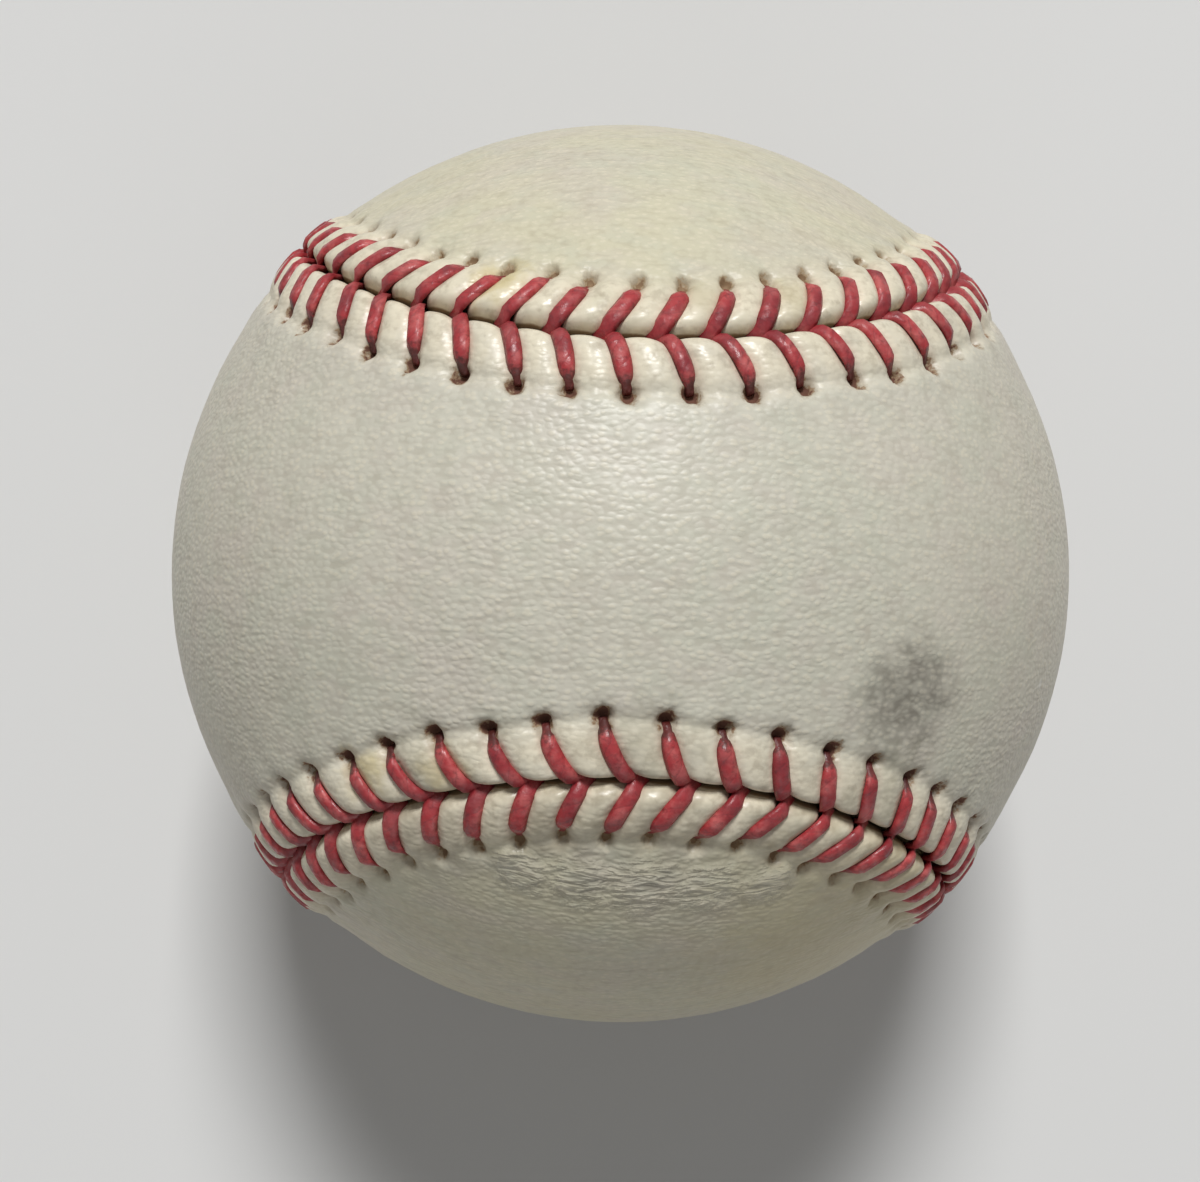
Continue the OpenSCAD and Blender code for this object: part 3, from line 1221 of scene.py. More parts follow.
def unrolled_group() -> Tree:
    """Makes the group that unrolls a panel of the ball. The grain's long way comes first.

    Returns:
        The group.
    """
    nodes, given, result = new_group(
        "unrolled_panel",
        {
            "Vector": ("NodeSocketVector", None),
            "Radius": ("NodeSocketFloat", 0.037),
            "Squeeze": ("NodeSocketFloat", 0.68),
            "Crosswise": ("NodeSocketFloat", 0.0),
        },
        {"Lay": "NodeSocketVector"},
    )
    radius, crosswise = given.outputs["Radius"], given.outputs["Crosswise"]
    parts = nodes.add("ShaderNodeSeparateXYZ", {"Vector": given.outputs["Vector"]}).outputs
    along = nodes.times(nodes.math("ARCTAN2", parts["X"], parts["Z"]), radius)
    tilt = nodes.math("ARCSINE", nodes.math("DIVIDE", parts["Y"], radius))
    beside = nodes.times(tilt, radius)
    swapped = nodes.times(nodes.math("SUBTRACT", beside, along), crosswise)
    lay = nodes.add("ShaderNodeCombineXYZ")
    long_way = nodes.times(nodes.math("ADD", along, swapped), given.outputs["Squeeze"])
    nodes.tree.links.new(long_way, lay.inputs["X"])
    nodes.tree.links.new(nodes.math("SUBTRACT", beside, swapped), lay.inputs["Y"])
    nodes.tree.links.new(lay.outputs["Vector"], result.inputs["Lay"])
    return nodes.tree


def ripple_group() -> Tree:
    """Makes the group for leather grain: pebbles in short wavy rows, with fine pores.

    Returns:
        The group.
    """
    nodes, given, result = new_group(
        "ripple_grain",
        {
            "Lay": ("NodeSocketVector", None),
            "Scale": ("NodeSocketFloat", 2000.0),
            "Waviness": ("NodeSocketFloat", 0.0006),
            "Pores": ("NodeSocketFloat", 0.2),
        },
        {"Height": "NodeSocketFloat"},
    )
    vector, scale = given.outputs["Lay"], given.outputs["Scale"]
    inputs = {"Vector": vector, "Scale": 420.0, "Detail": 2.0}
    warp = nodes.add("ShaderNodeTexNoise", inputs).outputs["Color"]
    centred = nodes.vector("SUBTRACT", warp, (0.5, 0.5, 0.5)).outputs[0]
    offset = nodes.vector("SCALE", centred)
    nodes.tree.links.new(given.outputs["Waviness"], offset.inputs["Scale"])
    bent = nodes.vector("ADD", vector, offset.outputs[0]).outputs[0]
    inputs = {"Vector": bent, "Scale": scale, "Smoothness": 0.35, "Randomness": 0.85}
    settings = {"feature": "SMOOTH_F1", "voronoi_dimensions": "2D"}
    domes = nodes.add("ShaderNodeTexVoronoi", inputs, **settings).outputs["Distance"]
    pebbles = nodes.ramp(domes, Ramp(start=0.6, end=0.08))
    longer = nodes.vector("MULTIPLY", bent, LONG_WAY).outputs[0]
    row_noise = Noise(scale=nodes.times(scale, 0.8), detail=1.0)
    rows = nodes.ramp(nodes.noise(longer, row_noise), Ramp(start=0.34, end=0.66))
    pores = nodes.times(nodes.noise(vector, Noise(scale=3600.0)), given.outputs["Pores"])
    height = nodes.math("MULTIPLY_ADD", pebbles, 0.6, nodes.times(rows, 0.4))
    nodes.tree.links.new(nodes.math("ADD", height, pores), result.inputs["Height"])
    return nodes.tree


def mottle_group() -> Tree:
    """Makes the group for uneven colour: a cloudy mask from 0 to 1.

    Returns:
        The group.
    """
    nodes, given, result = new_group(
        "mottle",
        {
            "Vector": ("NodeSocketVector", None),
            "Scale": ("NodeSocketFloat", 80.0),
            "Low": ("NodeSocketFloat", 0.35),
            "High": ("NodeSocketFloat", 0.7),
        },
        {"Mask": "NodeSocketFloat"},
    )
    noise = Noise(given.outputs["Scale"], detail=3.0, roughness=0.55)
    cloud = nodes.noise(given.outputs["Vector"], noise)
    mask = nodes.ramp(cloud, Ramp(given.outputs["Low"], given.outputs["High"]))
    nodes.tree.links.new(mask, result.inputs["Mask"])
    return nodes.tree


def twist_group() -> Tree:
    """Makes the group for twisted strands: the plies as a height.

    Returns:
        The group.
    """
    nodes, given, result = new_group(
        "twisted_plies",
        {
            "Along": ("NodeSocketFloat", 0.0),
            "Turn": ("NodeSocketFloat", 0.0),
            "Plies": ("NodeSocketFloat", 3.0),
            "Twists": ("NodeSocketFloat", 1.0),
        },
        {"Height": "NodeSocketFloat"},
    )
    wound = nodes.times(given.outputs["Along"], given.outputs["Twists"])
    phase = nodes.math("MULTIPLY_ADD", given.outputs["Turn"], given.outputs["Plies"], wound)
    lay = nodes.math("ABSOLUTE", nodes.math("SINE", nodes.times(phase, math.pi)))
    nodes.tree.links.new(lay, result.inputs["Height"])
    return nodes.tree


@dataclass(frozen=True)
class Effects:
    """The node groups that the finishes share."""

    spot: Tree
    unrolled: Tree
    ripple: Tree
    mottle: Tree
    twist: Tree


@dataclass(frozen=True)
class Finish:
    """A finish with a name, which starts a material and fills in the sockets that vary."""

    name: str

    def start(self) -> tuple[Material, Nodes]:
        """Starts the material.

        Returns:
            An empty material and a builder for its nodes.
        """
        material = bpy.data.materials.new(self.name)
        material.use_nodes = True
        return material, Nodes(material.node_tree)

    def wire(self, nodes: Nodes, specular: float, **sockets: Socket) -> None:
        """Links sockets to the surface shader by the names of its inputs, with _ for a space.

        Args:
            nodes: Builder of the material's nodes.
            specular: Specular level, the same all over.
            **sockets: The linked sockets.
        """
        shader = nodes.tree.nodes["Principled BSDF"]
        shader.inputs["Specular IOR Level"].default_value = specular
        for label, socket in sockets.items():
            nodes.tree.links.new(socket, shader.inputs[label.replace("_", " ")])


@dataclass(frozen=True)
class Stain:
    """A mark on the leather: where it lies on the ball, its size, its colour and its strength."""

    direction: Direction
    radius: float
    colour: Colour
    strength: float
    ragged: float = 0.5
    on_ridges: bool = False

    def mask(self, nodes: Nodes, effects: Effects, place: Socket, ball_radius: float) -> Socket:
        """Masks the mark's place.

        Args:
            nodes: Builder of the material's nodes.
            effects: The shared node groups.
            place: Object coordinates.
            ball_radius: The ball's radius.

        Returns:
            The mask, from 0 to 1.
        """
        centre = Vector(self.direction).normalized() * ball_radius * MM
        inputs = {"Vector": place, "Centre": centre, "Radius": self.radius * MM}
        inputs |= {"Ragged": self.ragged}
        return nodes.group(effects.spot, inputs).outputs["Mask"]


@dataclass(frozen=True)
class Hide:
    """What the marks on one panel's leather share.

    place holds object coordinates and lay those of the unrolled panel. grain, fine and rolled are
    the grain's height, fine speckles and the raised leather beside the seam. across, reach and
    rim are the distances from the nearest arm, the seam and the cut edge.
    """

    nodes: Nodes
    effects: Effects
    seam: Seam
    shape: LeatherShape
    place: Socket
    lay: Socket
    grain: Socket
    fine: Socket
    rolled: Socket
    across: Socket
    reach: Socket
    rim: Socket


@dataclass(frozen=True)
class LeatherFinish(Finish):
    """White hide with rippled grain, a little glossy, with soil in its grooves and round its needle
    holes; painted shade in its grain's valleys, wrinkles, needle holes and seam gap, and painted
    highlight on its raised parts and ridges.
    """

    base: Colour
    turn: Direction = (0.0, 0.0, 0.0)
    crosswise: float = 0.0
    stains: tuple[Stain, ...] = ()
    creased: tuple[Stain, ...] = ()
    pink: Colour = (0.665, 0.60, 0.525)
    green: Colour = (0.60, 0.615, 0.50)
    dye: Colour = (0.60, 0.30, 0.24)
    soil: Colour = (0.24, 0.18, 0.11)
    flesh: Colour = (0.30, 0.19, 0.10)
    torn: Colour = (0.34, 0.235, 0.145)
    # Painted shade: the dark colour inside the needle holes.
    hole: Colour = (0.15, 0.066, 0.042)
    # Pale colour of wear by rubbing, used as painted highlight too: on the raised leather and on
    # the ridges of the grain and wrinkles.
    rub_and_highlight: Colour = (0.87, 0.795, 0.62)
    roughness: float = 0.41
    specular: float = 0.45
    hole_share: float = 1.0
    grain_scale: float = 2000.0
    roll: Ramp = Ramp(5.8, 2.8)
    fine_noise: Noise = Noise(640.0, 4.0, 0.6)
    green_clouds: Mottle = Mottle(75.0, 0.4, 0.75, 0.45)
    pink_clouds: Mottle = Mottle(110.0, 0.42, 0.7, 0.4)
    pink_flecks: Mottle = Mottle(330.0, 0.45, 0.7, 0.3)
    green_flecks: Mottle = Mottle(460.0, 0.45, 0.7, 0.3)
    roll_wear_and_highlight_noise: Noise = Noise(420.0, 3.0)
    roll_wear_and_highlight: Ramp = Ramp(0.3, 0.6, 0.5, 0.92)
    # Soil and painted shade in the grain's valleys; wear and painted highlight on its ridges.
    groove_soil_and_shade: Ramp = Ramp(0.45, 0.05, 0.0, 0.14)
    ridge_rub_and_highlight: Ramp = Ramp(0.7, 1.0, 0.0, 0.3)
    fine_soil: Ramp = Ramp(0.45, 0.8, 0.0, 0.16)
    handled_noise: Noise = Noise(900.0, 3.0, 0.6)
    handled: Ramp = Ramp(0.48, 0.7, 0.0, 0.3)
    patch_noise: Noise = Noise(520.0, 3.0, 0.6, 0.8)
    patches: Ramp = Ramp(0.3, 0.56, 0.55, 1.0)
    valleys: Ramp = Ramp(1.0, 0.3, 0.7, 1.0)
    wrinkle_noise: Noise = Noise(1200.0, 2.0, 0.55, 0.9)
    # Painted shade with soil in the wrinkles' valleys, and painted highlight on their ridges.
    wrinkle_shade_and_soil: Ramp = Ramp(0.55, 0.25)
    wrinkle_ridge_highlight: Ramp = Ramp(0.5, 0.7, 0.0, 0.6)
    dye_by_arm: Ramp = Ramp(1.05, 0.45, 0.0, 0.17)
    grime_by_arm: Ramp = Ramp(0.75, 0.35, 0.0, 0.45)
    grime_flecks: Ramp = Ramp(0.25, 0.6, 0.3, 1.0)
    rim_raggedness: float = 0.12
    rim_flesh: Ramp = Ramp(0.22, 0.15, 0.0, 0.92)
    # Painted shadow: a dark line at the very cut edge stands for the shade in the gap between the
    # panels.
    rim_painted_shadow: Ramp = Ramp(0.12, 0.03, 0.0, 0.85)
    slit_noise: Noise = Noise(1100.0, 3.0, 0.65)
    slit_depth: float = 3.0
    hole_soil: Ramp = Ramp(1.75, 1.15, 0.0, 0.3)
    hole_torn: Ramp = Ramp(1.25, 1.0)
    # Painted shade inside the needle holes.
    hole_painted_shade: Ramp = Ramp(1.0, 0.75)
    stretched: Ramp = Ramp(2.0, 5.4, 0.6, 1.0)
    swell_noise: Noise = Noise(60.0)
    swell: Ramp = Ramp(0.35, 0.65, 0.5, 1.0)
    wrinkle_height: float = 12.0
    relief: Bump = Bump(0.5, 0.00012)
    fine_gloss: float = 0.16
    roll_gloss: Ramp = Ramp(4.6, 1.5, 0.0, -0.09)
    crumpled_gloss: float = -0.24
    hole_gloss: Ramp = Ramp(1.2, 0.7, 0.0, 0.4)

    def hide(self, nodes: Nodes, seam: Seam, shape: LeatherShape, effects: Effects) -> Hide:
        """Reads what the marks share.

        Args:
            nodes: Builder of the material's nodes.
            seam: The seam, for the place of the needle holes.
            shape: The leather's shape.
            effects: The shared node groups.

        Returns:
            The shared values.
        """
        place = nodes.place()
        across, reach, rim = (nodes.attribute(note) for note in ("across", "reach", "rim"))
        inputs = {"Vector": nodes.place(self.turn), "Radius": seam.radius * MM}
        inputs |= {"Crosswise": self.crosswise}
        lay = nodes.group(effects.unrolled, inputs).outputs["Lay"]
        inputs = {"Lay": lay, "Scale": self.grain_scale}
        grain = nodes.group(effects.ripple, inputs).outputs["Height"]
        fine, rolled = nodes.noise(place, self.fine_noise), nodes.ramp(reach, self.roll)
        shared = (place, lay, grain, fine, rolled, across, reach, rim)
        return Hide(nodes, effects, seam, shape, *shared)

    def tinted(self, hide: Hide) -> Socket:
        """Colours the clean leather, with its greenish and pinkish clouds and flecks.

        Args:
            hide: The shared values.

        Returns:
            The colour.
        """
        nodes, colour = hide.nodes, self.base
        for mottle, place, tint in (
            (self.green_clouds, hide.place, self.green),
            (self.pink_clouds, hide.place, self.pink),
            (self.pink_flecks, hide.lay, self.pink),
            (self.green_flecks, hide.lay, self.green),
        ):
            colour = nodes.mix(nodes.mottle(hide.effects.mottle, place, mottle), colour, tint)
        return colour

    def worn(self, hide: Hide, colour: Socket) -> Socket:
        """Lightens the raised leather and the grain's ridges, as wear and painted highlight, soils
        the rest, and paints shade with soil into the grain's valleys.

        Args:
            hide: The shared values.
            colour: The colour so far.

        Returns:
            The colour.
        """
        nodes = hide.nodes
        rub_and_highlight = nodes.ramp(nodes.noise(hide.place, self.roll_wear_and_highlight_noise), self.roll_wear_and_highlight)
        handled = nodes.ramp(nodes.noise(hide.place, self.handled_noise), self.handled)
        for mask, tint in (
            # Raised leather paler: wear by rubbing and painted highlight.
            (nodes.times(hide.rolled, rub_and_highlight), self.rub_and_highlight),
            # Grain valleys darker, with soil and painted shade; ridges paler, with wear and painted
            # highlight.
            (nodes.ramp(hide.grain, self.groove_soil_and_shade), self.soil),
            (nodes.ramp(hide.grain, self.ridge_rub_and_highlight), self.rub_and_highlight),
            (nodes.ramp(hide.fine, self.fine_soil), self.soil),
            (nodes.times(handled, hide.rolled), self.soil),
        ):
            colour = nodes.mix(mask, colour, tint)
        return colour

    def stained(self, hide: Hide, colour: Socket) -> Socket:
        """Adds the stains.

        Args:
            hide: The shared values.
            colour: The colour so far.

        Returns:
            The colour.
        """
        nodes = hide.nodes
        for stain in self.stains:
            mask = stain.mask(nodes, hide.effects, hide.place, hide.seam.radius)
            if stain.on_ridges:
                patches = nodes.ramp(nodes.noise(hide.lay, self.patch_noise), self.patches)
                mask = nodes.times(mask, patches, nodes.ramp(hide.grain, self.valleys))
            colour = nodes.mix(nodes.times(mask, stain.strength), colour, stain.colour)
        return colour

    def crumpled(self, hide: Hide, colour: Socket) -> tuple[Socket, Value, Socket]:
        """Adds the patches that are crumpled in short rows, with painted shade and soil in the
        wrinkles' valleys and painted highlight on their ridges.

        Args:
            hide: The shared values.
            colour: The colour so far.

        Returns:
            The colour, the mask of the patches and their wrinkles.
        """
        nodes, crumpled = hide.nodes, 0.0
        longer = nodes.vector("MULTIPLY", hide.lay, LONG_WAY).outputs[0]
        wrinkles = nodes.noise(longer, self.wrinkle_noise)
        for patch in self.creased:
            mask = patch.mask(nodes, hide.effects, hide.place, hide.seam.radius)
            # Painted shade with soil in the valleys, then painted highlight on the ridges.
            valley_shade_and_soil = nodes.times(nodes.ramp(wrinkles, self.wrinkle_shade_and_soil), mask, patch.strength)
            colour = nodes.mix(valley_shade_and_soil, colour, patch.colour)
            ridge_highlight = nodes.times(nodes.ramp(wrinkles, self.wrinkle_ridge_highlight), mask)
            colour = nodes.mix(ridge_highlight, colour, self.rub_and_highlight)
            crumpled = nodes.math("MAXIMUM", crumpled, mask)
        return colour, crumpled, wrinkles

    def sewn(self, hide: Hide, colour: Socket) -> Socket:
        """Dyes and soils the leather beside the thread, shows the flesh at its cut edge, and paints
        a dark shadow line at the edge itself.

        Args:
            hide: The shared values.
            colour: The colour so far.

        Returns:
            The colour.
        """
        nodes = hide.nodes
        dyed = nodes.ramp(hide.across, self.dye_by_arm)
        grimy = nodes.ramp(hide.across, self.grime_by_arm)
        grime = nodes.ramp(hide.fine, self.grime_flecks)
        ragged_rim = nodes.math("MULTIPLY_ADD", hide.fine, self.rim_raggedness, hide.rim)
        for mask, tint in (
            (nodes.times(dyed, hide.rolled), self.dye),
            (nodes.times(grimy, grime, hide.rolled), self.soil),
            (nodes.ramp(ragged_rim, self.rim_flesh), self.flesh),
            # Painted shadow line in the gap between the panels.
            (nodes.ramp(hide.rim, self.rim_painted_shadow), self.soil),
        ):
            colour = nodes.mix(mask, colour, tint)
        return colour

    def holed(self, hide: Hide, colour: Socket) -> tuple[Socket, Socket]:
        """Darkens the ragged needle holes with painted shade, inside a soiled ring and torn lips.

        Args:
            hide: The shared values.
            colour: The colour so far.

        Returns:
            The colour, and the distance from the hole's middle as a share of its size.
        """
        nodes, seam, shape = hide.nodes, hide.seam, hide.shape
        slits = nodes.math("SUBTRACT", nodes.noise(hide.place, self.slit_noise), 0.5)
        off_hole = nodes.math("SUBTRACT", hide.reach, seam.hole_distance + shape.hole_offset)
        wide = nodes.math("DIVIDE", hide.across, shape.hole_half_width)
        long = nodes.math("DIVIDE", off_hole, shape.hole_half_length)
        squares = [nodes.math("POWER", part, 2.0) for part in (wide, long)]
        from_middle = nodes.math("SQRT", nodes.math("ADD", *squares))
        from_hole = nodes.math("DIVIDE", from_middle, self.hole_share)
        from_hole = nodes.math("ADD", from_hole, nodes.times(slits, self.slit_depth))
        for ramp, tint in (
            (self.hole_soil, self.soil),
            (self.hole_torn, self.torn),
            # Painted shade inside the needle holes.
            (self.hole_painted_shade, self.hole),
        ):
            colour = nodes.mix(nodes.ramp(from_hole, ramp), colour, tint)
        return colour, from_hole

    def build(self, seam: Seam, shape: LeatherShape, effects: Effects) -> Material:
        """Makes the leather's material.

        Args:
            seam: The seam, for the place of the needle holes.
            shape: The leather's shape.
            effects: The shared node groups.

        Returns:
            The material.
        """
        material, nodes = self.start()
        hide = self.hide(nodes, seam, shape, effects)
        colour = self.stained(hide, self.worn(hide, self.tinted(hide)))
        colour, crumpled, wrinkles = self.crumpled(hide, colour)
        colour, from_hole = self.holed(hide, self.sewn(hide, colour))
        swell = nodes.ramp(nodes.noise(hide.place, self.swell_noise), self.swell)
        height = nodes.times(hide.grain, nodes.ramp(hide.reach, self.stretched), swell)
        folds = nodes.times(wrinkles, crumpled)
        height = nodes.math("MULTIPLY_ADD", folds, self.wrinkle_height, height)
        plain = self.roughness - self.fine_gloss / 2.0
        gloss = nodes.math("MULTIPLY_ADD", hide.fine, self.fine_gloss, plain)
        gloss = nodes.math("ADD", gloss, nodes.ramp(hide.reach, self.roll_gloss))
        gloss = nodes.math("MULTIPLY_ADD", crumpled, self.crumpled_gloss, gloss)
        gloss = nodes.math("ADD", gloss, nodes.ramp(from_hole, self.hole_gloss))
        normal = nodes.bump(height, self.relief)
        self.wire(nodes, self.specular, Base_Color=colour, Roughness=gloss, Normal=normal)
        return material


@dataclass(frozen=True)
class ThreadFinish(Finish):
    """Red waxed thread of twisted plies, darker at its ends, with a dull wax shine. Its pale clouds
    are partly painted highlight; it is darker between its plies and at its seam end as painted
    shade, and at its hole end as painted shade and soil.
    """

    base: Colour = (0.43, 0.037, 0.043)
    # Pale red in clouds: tone that varies, and painted highlight.
    light_tone_and_highlight: Colour = (0.60, 0.13, 0.125)
    deep: Colour = (0.18, 0.012, 0.02)
    dark: Colour = (0.06, 0.005, 0.008)
    # Colour of the darker hole end: painted shade and soil.
    stained: Colour = (0.08, 0.016, 0.013)
    roughness: float = 0.40
    specular: float = 0.5
    end_shade_and_soil: float = 0.35
    twists: float = 3.0
    fibre_noise: Noise = Noise(2400.0, 3.0, 0.65)
    pale_and_highlight_clouds: Mottle = Mottle(800.0, 0.42, 0.68, 0.9)
    dark_flecks: Mottle = Mottle(520.0, 0.5, 0.72, 0.3)
    deep_clouds: Mottle = Mottle(260.0, 0.4, 0.7, 0.6)
    between_fibres: Ramp = Ramp(0.45, 0.8, 0.0, 0.55)
    # Painted shade between the plies.
    shade_between_plies: Ramp = Ramp(0.25, 0.0, 0.0, 0.22)
    # The hole end is darker in ragged patches: painted shade where the thread enters its hole, and
    # soil.
    end_shade_and_soil_noise: Noise = Noise(170.0, 1.0)
    hole_end_shade_and_soil: Ramp = Ramp(0.25, 0.1)
    end_shade_and_soil_starts: float = 0.15
    end_shade_and_soil_raggedness: float = -0.3
    end_shade_and_soil_most: float = 1.6
    # Painted shade where the thread dives into the seam gap.
    gap_end_deep_shade: Ramp = Ramp(0.66, 0.9, 0.0, 0.4)
    gap_end_dark_shade: Ramp = Ramp(0.9, 1.0, 0.0, 0.25)
    lump_noise: Noise = Noise(700.0)
    ply_height: float = 0.5
    fibre_height: float = 0.6
    relief: Bump = Bump(0.7, 0.00013)
    wax_noise: Noise = Noise(1500.0, 3.0)
    shinier: float = 0.1
    duller: float = 0.25

    def build(self, effects: Effects) -> Material:
        """Makes the thread's material.

        Args:
            effects: The shared node groups.

        Returns:
            The material.
        """
        material, nodes = self.start()
        twist = nodes.add("ShaderNodeUVMap", uv_map="twist").outputs["UV"]
        parts = nodes.add("ShaderNodeSeparateXYZ", {"Vector": twist})
        turn, along = parts.outputs["X"], parts.outputs["Y"]
        place, plies = nodes.place(), float(Ply.THREAD.value)
        inputs = {"Along": along, "Turn": turn, "Plies": plies, "Twists": self.twists}
        lay = nodes.group(effects.twist, inputs).outputs["Height"]
        fibre = nodes.noise(place, self.fibre_noise)
        starts = nodes.math("ADD", along, self.end_shade_and_soil_starts)
        ragged = nodes.math("MULTIPLY_ADD", fibre, self.end_shade_and_soil_raggedness, starts)
        most = min(1.0, self.end_shade_and_soil_most * self.end_shade_and_soil)
        end_shade_and_soil = nodes.noise(place, self.end_shade_and_soil_noise)
        end_shade_and_soil = nodes.ramp(end_shade_and_soil, Ramp(start=0.35, end=0.55, first=self.end_shade_and_soil, last=most))
        colour = self.base
        for mask, tint in (
            (nodes.mottle(effects.mottle, place, self.pale_and_highlight_clouds), self.light_tone_and_highlight),
            (nodes.mottle(effects.mottle, place, self.dark_flecks), self.dark),
            (nodes.mottle(effects.mottle, place, self.deep_clouds), self.deep),
            (nodes.ramp(fibre, self.between_fibres), self.dark),
            # Painted shade between the plies.
            (nodes.ramp(lay, self.shade_between_plies), self.dark),
            # Painted shade and soil at the hole end.
            (nodes.times(end_shade_and_soil, nodes.ramp(ragged, self.hole_end_shade_and_soil)), self.stained),
            # Painted shade at the seam end.
            (nodes.ramp(along, self.gap_end_deep_shade), self.deep),
            (nodes.ramp(along, self.gap_end_dark_shade), self.dark),
        ):
            colour = nodes.mix(mask, colour, tint)
        fibres = nodes.times(fibre, self.fibre_height)
        height = nodes.math("MULTIPLY_ADD", lay, self.ply_height, fibres)
        height = nodes.math("ADD", nodes.noise(place, self.lump_noise), height)
        shiny, dull = self.roughness - self.shinier, self.roughness + self.duller
        waxed = Ramp(start=0.35, end=0.65, first=shiny, last=dull)
        gloss = nodes.ramp(nodes.noise(place, self.wax_noise), waxed)
        normal = nodes.bump(height, self.relief)
        self.wire(nodes, self.specular, Base_Color=colour, Roughness=gloss, Normal=normal)
        return material


@dataclass(frozen=True)
class YarnFinish(Finish):
    """Dull yarn with visible plies and loose fibres, with painted shade between its plies and its
    turns.
    """

    base: Colour
    fleck: Colour
    specular: float = 0.1
    dark_share: float = 0.4
    turn_tints: Ramp = Ramp(0.0, 1.0, 0.0, 0.5)
    flecks: Mottle = Mottle(500.0, 0.45, 0.7, 0.5)
    # Painted shade between the plies and between neighbouring turns.
    shade_between_plies: Ramp = Ramp(0.45, 0.0, 0.0, 0.25)
    shade_between_turns: Ramp = Ramp(0.55, 0.95, 0.0, 0.75)
    fibre_noise: Noise = Noise(2200.0, 4.0, 0.7)
    fibre_height: float = 0.9
    ply_height: float = 0.45
    turn_height: float = -1.2
    relief: Bump = Bump(0.7, 0.0002)
    roughness: float = 0.85
    fibre_roughness: float = 0.12

    def build(self, effects: Effects) -> Material:
        """Makes the yarn's material.

        Args:
            effects: The shared node groups.

        Returns:
            The material.
        """
        material, nodes = self.start()
        place = nodes.place()
        lay, strands, shade = (nodes.attribute(note) for note in ("lay", "strands", "shade"))
        fibre, off_middle = nodes.noise(place, self.fibre_noise), nodes.math("ABSOLUTE", lay)
        dark = tuple(self.dark_share * part for part in self.base)
        colour = self.base
        for mask, tint in (
            (nodes.ramp(shade, self.turn_tints), self.fleck),
            (nodes.mottle(effects.mottle, place, self.flecks), self.fleck),
            # Painted shade between the plies and between the turns.
            (nodes.ramp(strands, self.shade_between_plies), dark),
            (nodes.ramp(off_middle, self.shade_between_turns), dark),
        ):
            colour = nodes.mix(mask, colour, tint)
        fibres = nodes.times(fibre, self.fibre_height)
        height = nodes.math("MULTIPLY_ADD", strands, self.ply_height, fibres)
        height = nodes.math("MULTIPLY_ADD", off_middle, self.turn_height, height)
        rough = nodes.math("MULTIPLY_ADD", fibre, self.fibre_roughness, self.roughness)
        normal = nodes.bump(height, self.relief)
        self.wire(nodes, self.specular, Base_Color=colour, Roughness=rough, Normal=normal)
        return material


@dataclass(frozen=True)
class SolidFinish(Finish):
    """A plain solid such as rubber, cement or cork, cloudy in colour with a fine rough skin."""

    base: Colour
    cloud: Colour
    roughness: float
    grain: float
    depth: float
    granular: bool = False
    specular: float = 0.35
    clouds: Mottle = Mottle(160.0, 0.35, 0.7, 0.8)
    granule_share: float = 0.5
    speck_share: float = 0.4
    specks: Ramp = Ramp(0.55, 0.8, 0.0, 0.5)
    skin_strength: float = 0.5
    skin_roughness: float = 0.25
    smoother: float = 0.12

    def build(self, effects: Effects) -> Material:
        """Makes the solid's material.

        Args:
            effects: The shared node groups.

        Returns:
            The material.
        """
        material, nodes = self.start()
        place = nodes.place()
        clouds = nodes.mottle(effects.mottle, place, self.clouds)
        colour = nodes.mix(clouds, self.base, self.cloud)
        if self.granular:
            granule = tuple(self.granule_share * part for part in self.base)
            colour = nodes.mix(nodes.attribute("shade"), colour, granule)
        skin = nodes.noise(place, Noise(self.grain, detail=4.0, roughness=0.65))
        speck = tuple(self.speck_share * part for part in self.base)
        colour = nodes.mix(nodes.ramp(skin, self.specks), colour, speck)
        plain = self.roughness - self.smoother
        rough = nodes.math("MULTIPLY_ADD", skin, self.skin_roughness, plain)
        normal = nodes.bump(skin, Bump(self.skin_strength, self.depth * MM))
        self.wire(nodes, self.specular, Base_Color=colour, Roughness=rough, Normal=normal)
        return material


@dataclass(frozen=True)
class PhotoCamera:
    """The photograph's camera, looking steeply down at the ball on its table.

    The picture is taken to be 1200 by 1182 pixels. The angles turn the ball against the camera.
    """

    distance_in_radii: float = 4.837
    focal_pixels: float = 2123.0
    picture_width: float = 1200.0
    picture_height: float = 1182.0
    ball_column: float = 619.5
    ball_row: float = 574.2
    turn: Direction = (-0.0259, 0.0252, -0.0298)
    sensor: float = 36.0
    nearest: float = 0.01
    furthest: float = 20.0

    def build(self, radius: float) -> None:
        """Makes the camera and makes it the scene's.

        Args:
            radius: The ball's radius in millimetres.
        """
        data = bpy.data.cameras.new("photo_camera")
        data.sensor_width = self.sensor
        data.sensor_fit = "HORIZONTAL"
        data.lens = self.sensor * self.focal_pixels / self.picture_width
        data.clip_start, data.clip_end = self.nearest, self.furthest
        camera = bpy.data.objects.new("photo_camera", data)
        bpy.context.scene.collection.objects.link(camera)
        aside = (self.ball_column - self.picture_width / 2.0) / self.focal_pixels
        below = (self.ball_row - self.picture_height / 2.0) / self.focal_pixels
        distance = self.distance_in_radii * radius * MM
        towards = Vector((aside, -below, -1.0)).normalized() * distance
        turned = Vector(self.turn)
        ball_to_camera = Matrix.Rotation(turned.length, 3, turned.normalized())
        back = ball_to_camera.transposed()
        camera.matrix_world = Matrix.Translation(back @ -towards) @ back.to_4x4()
        bpy.context.scene.camera = camera


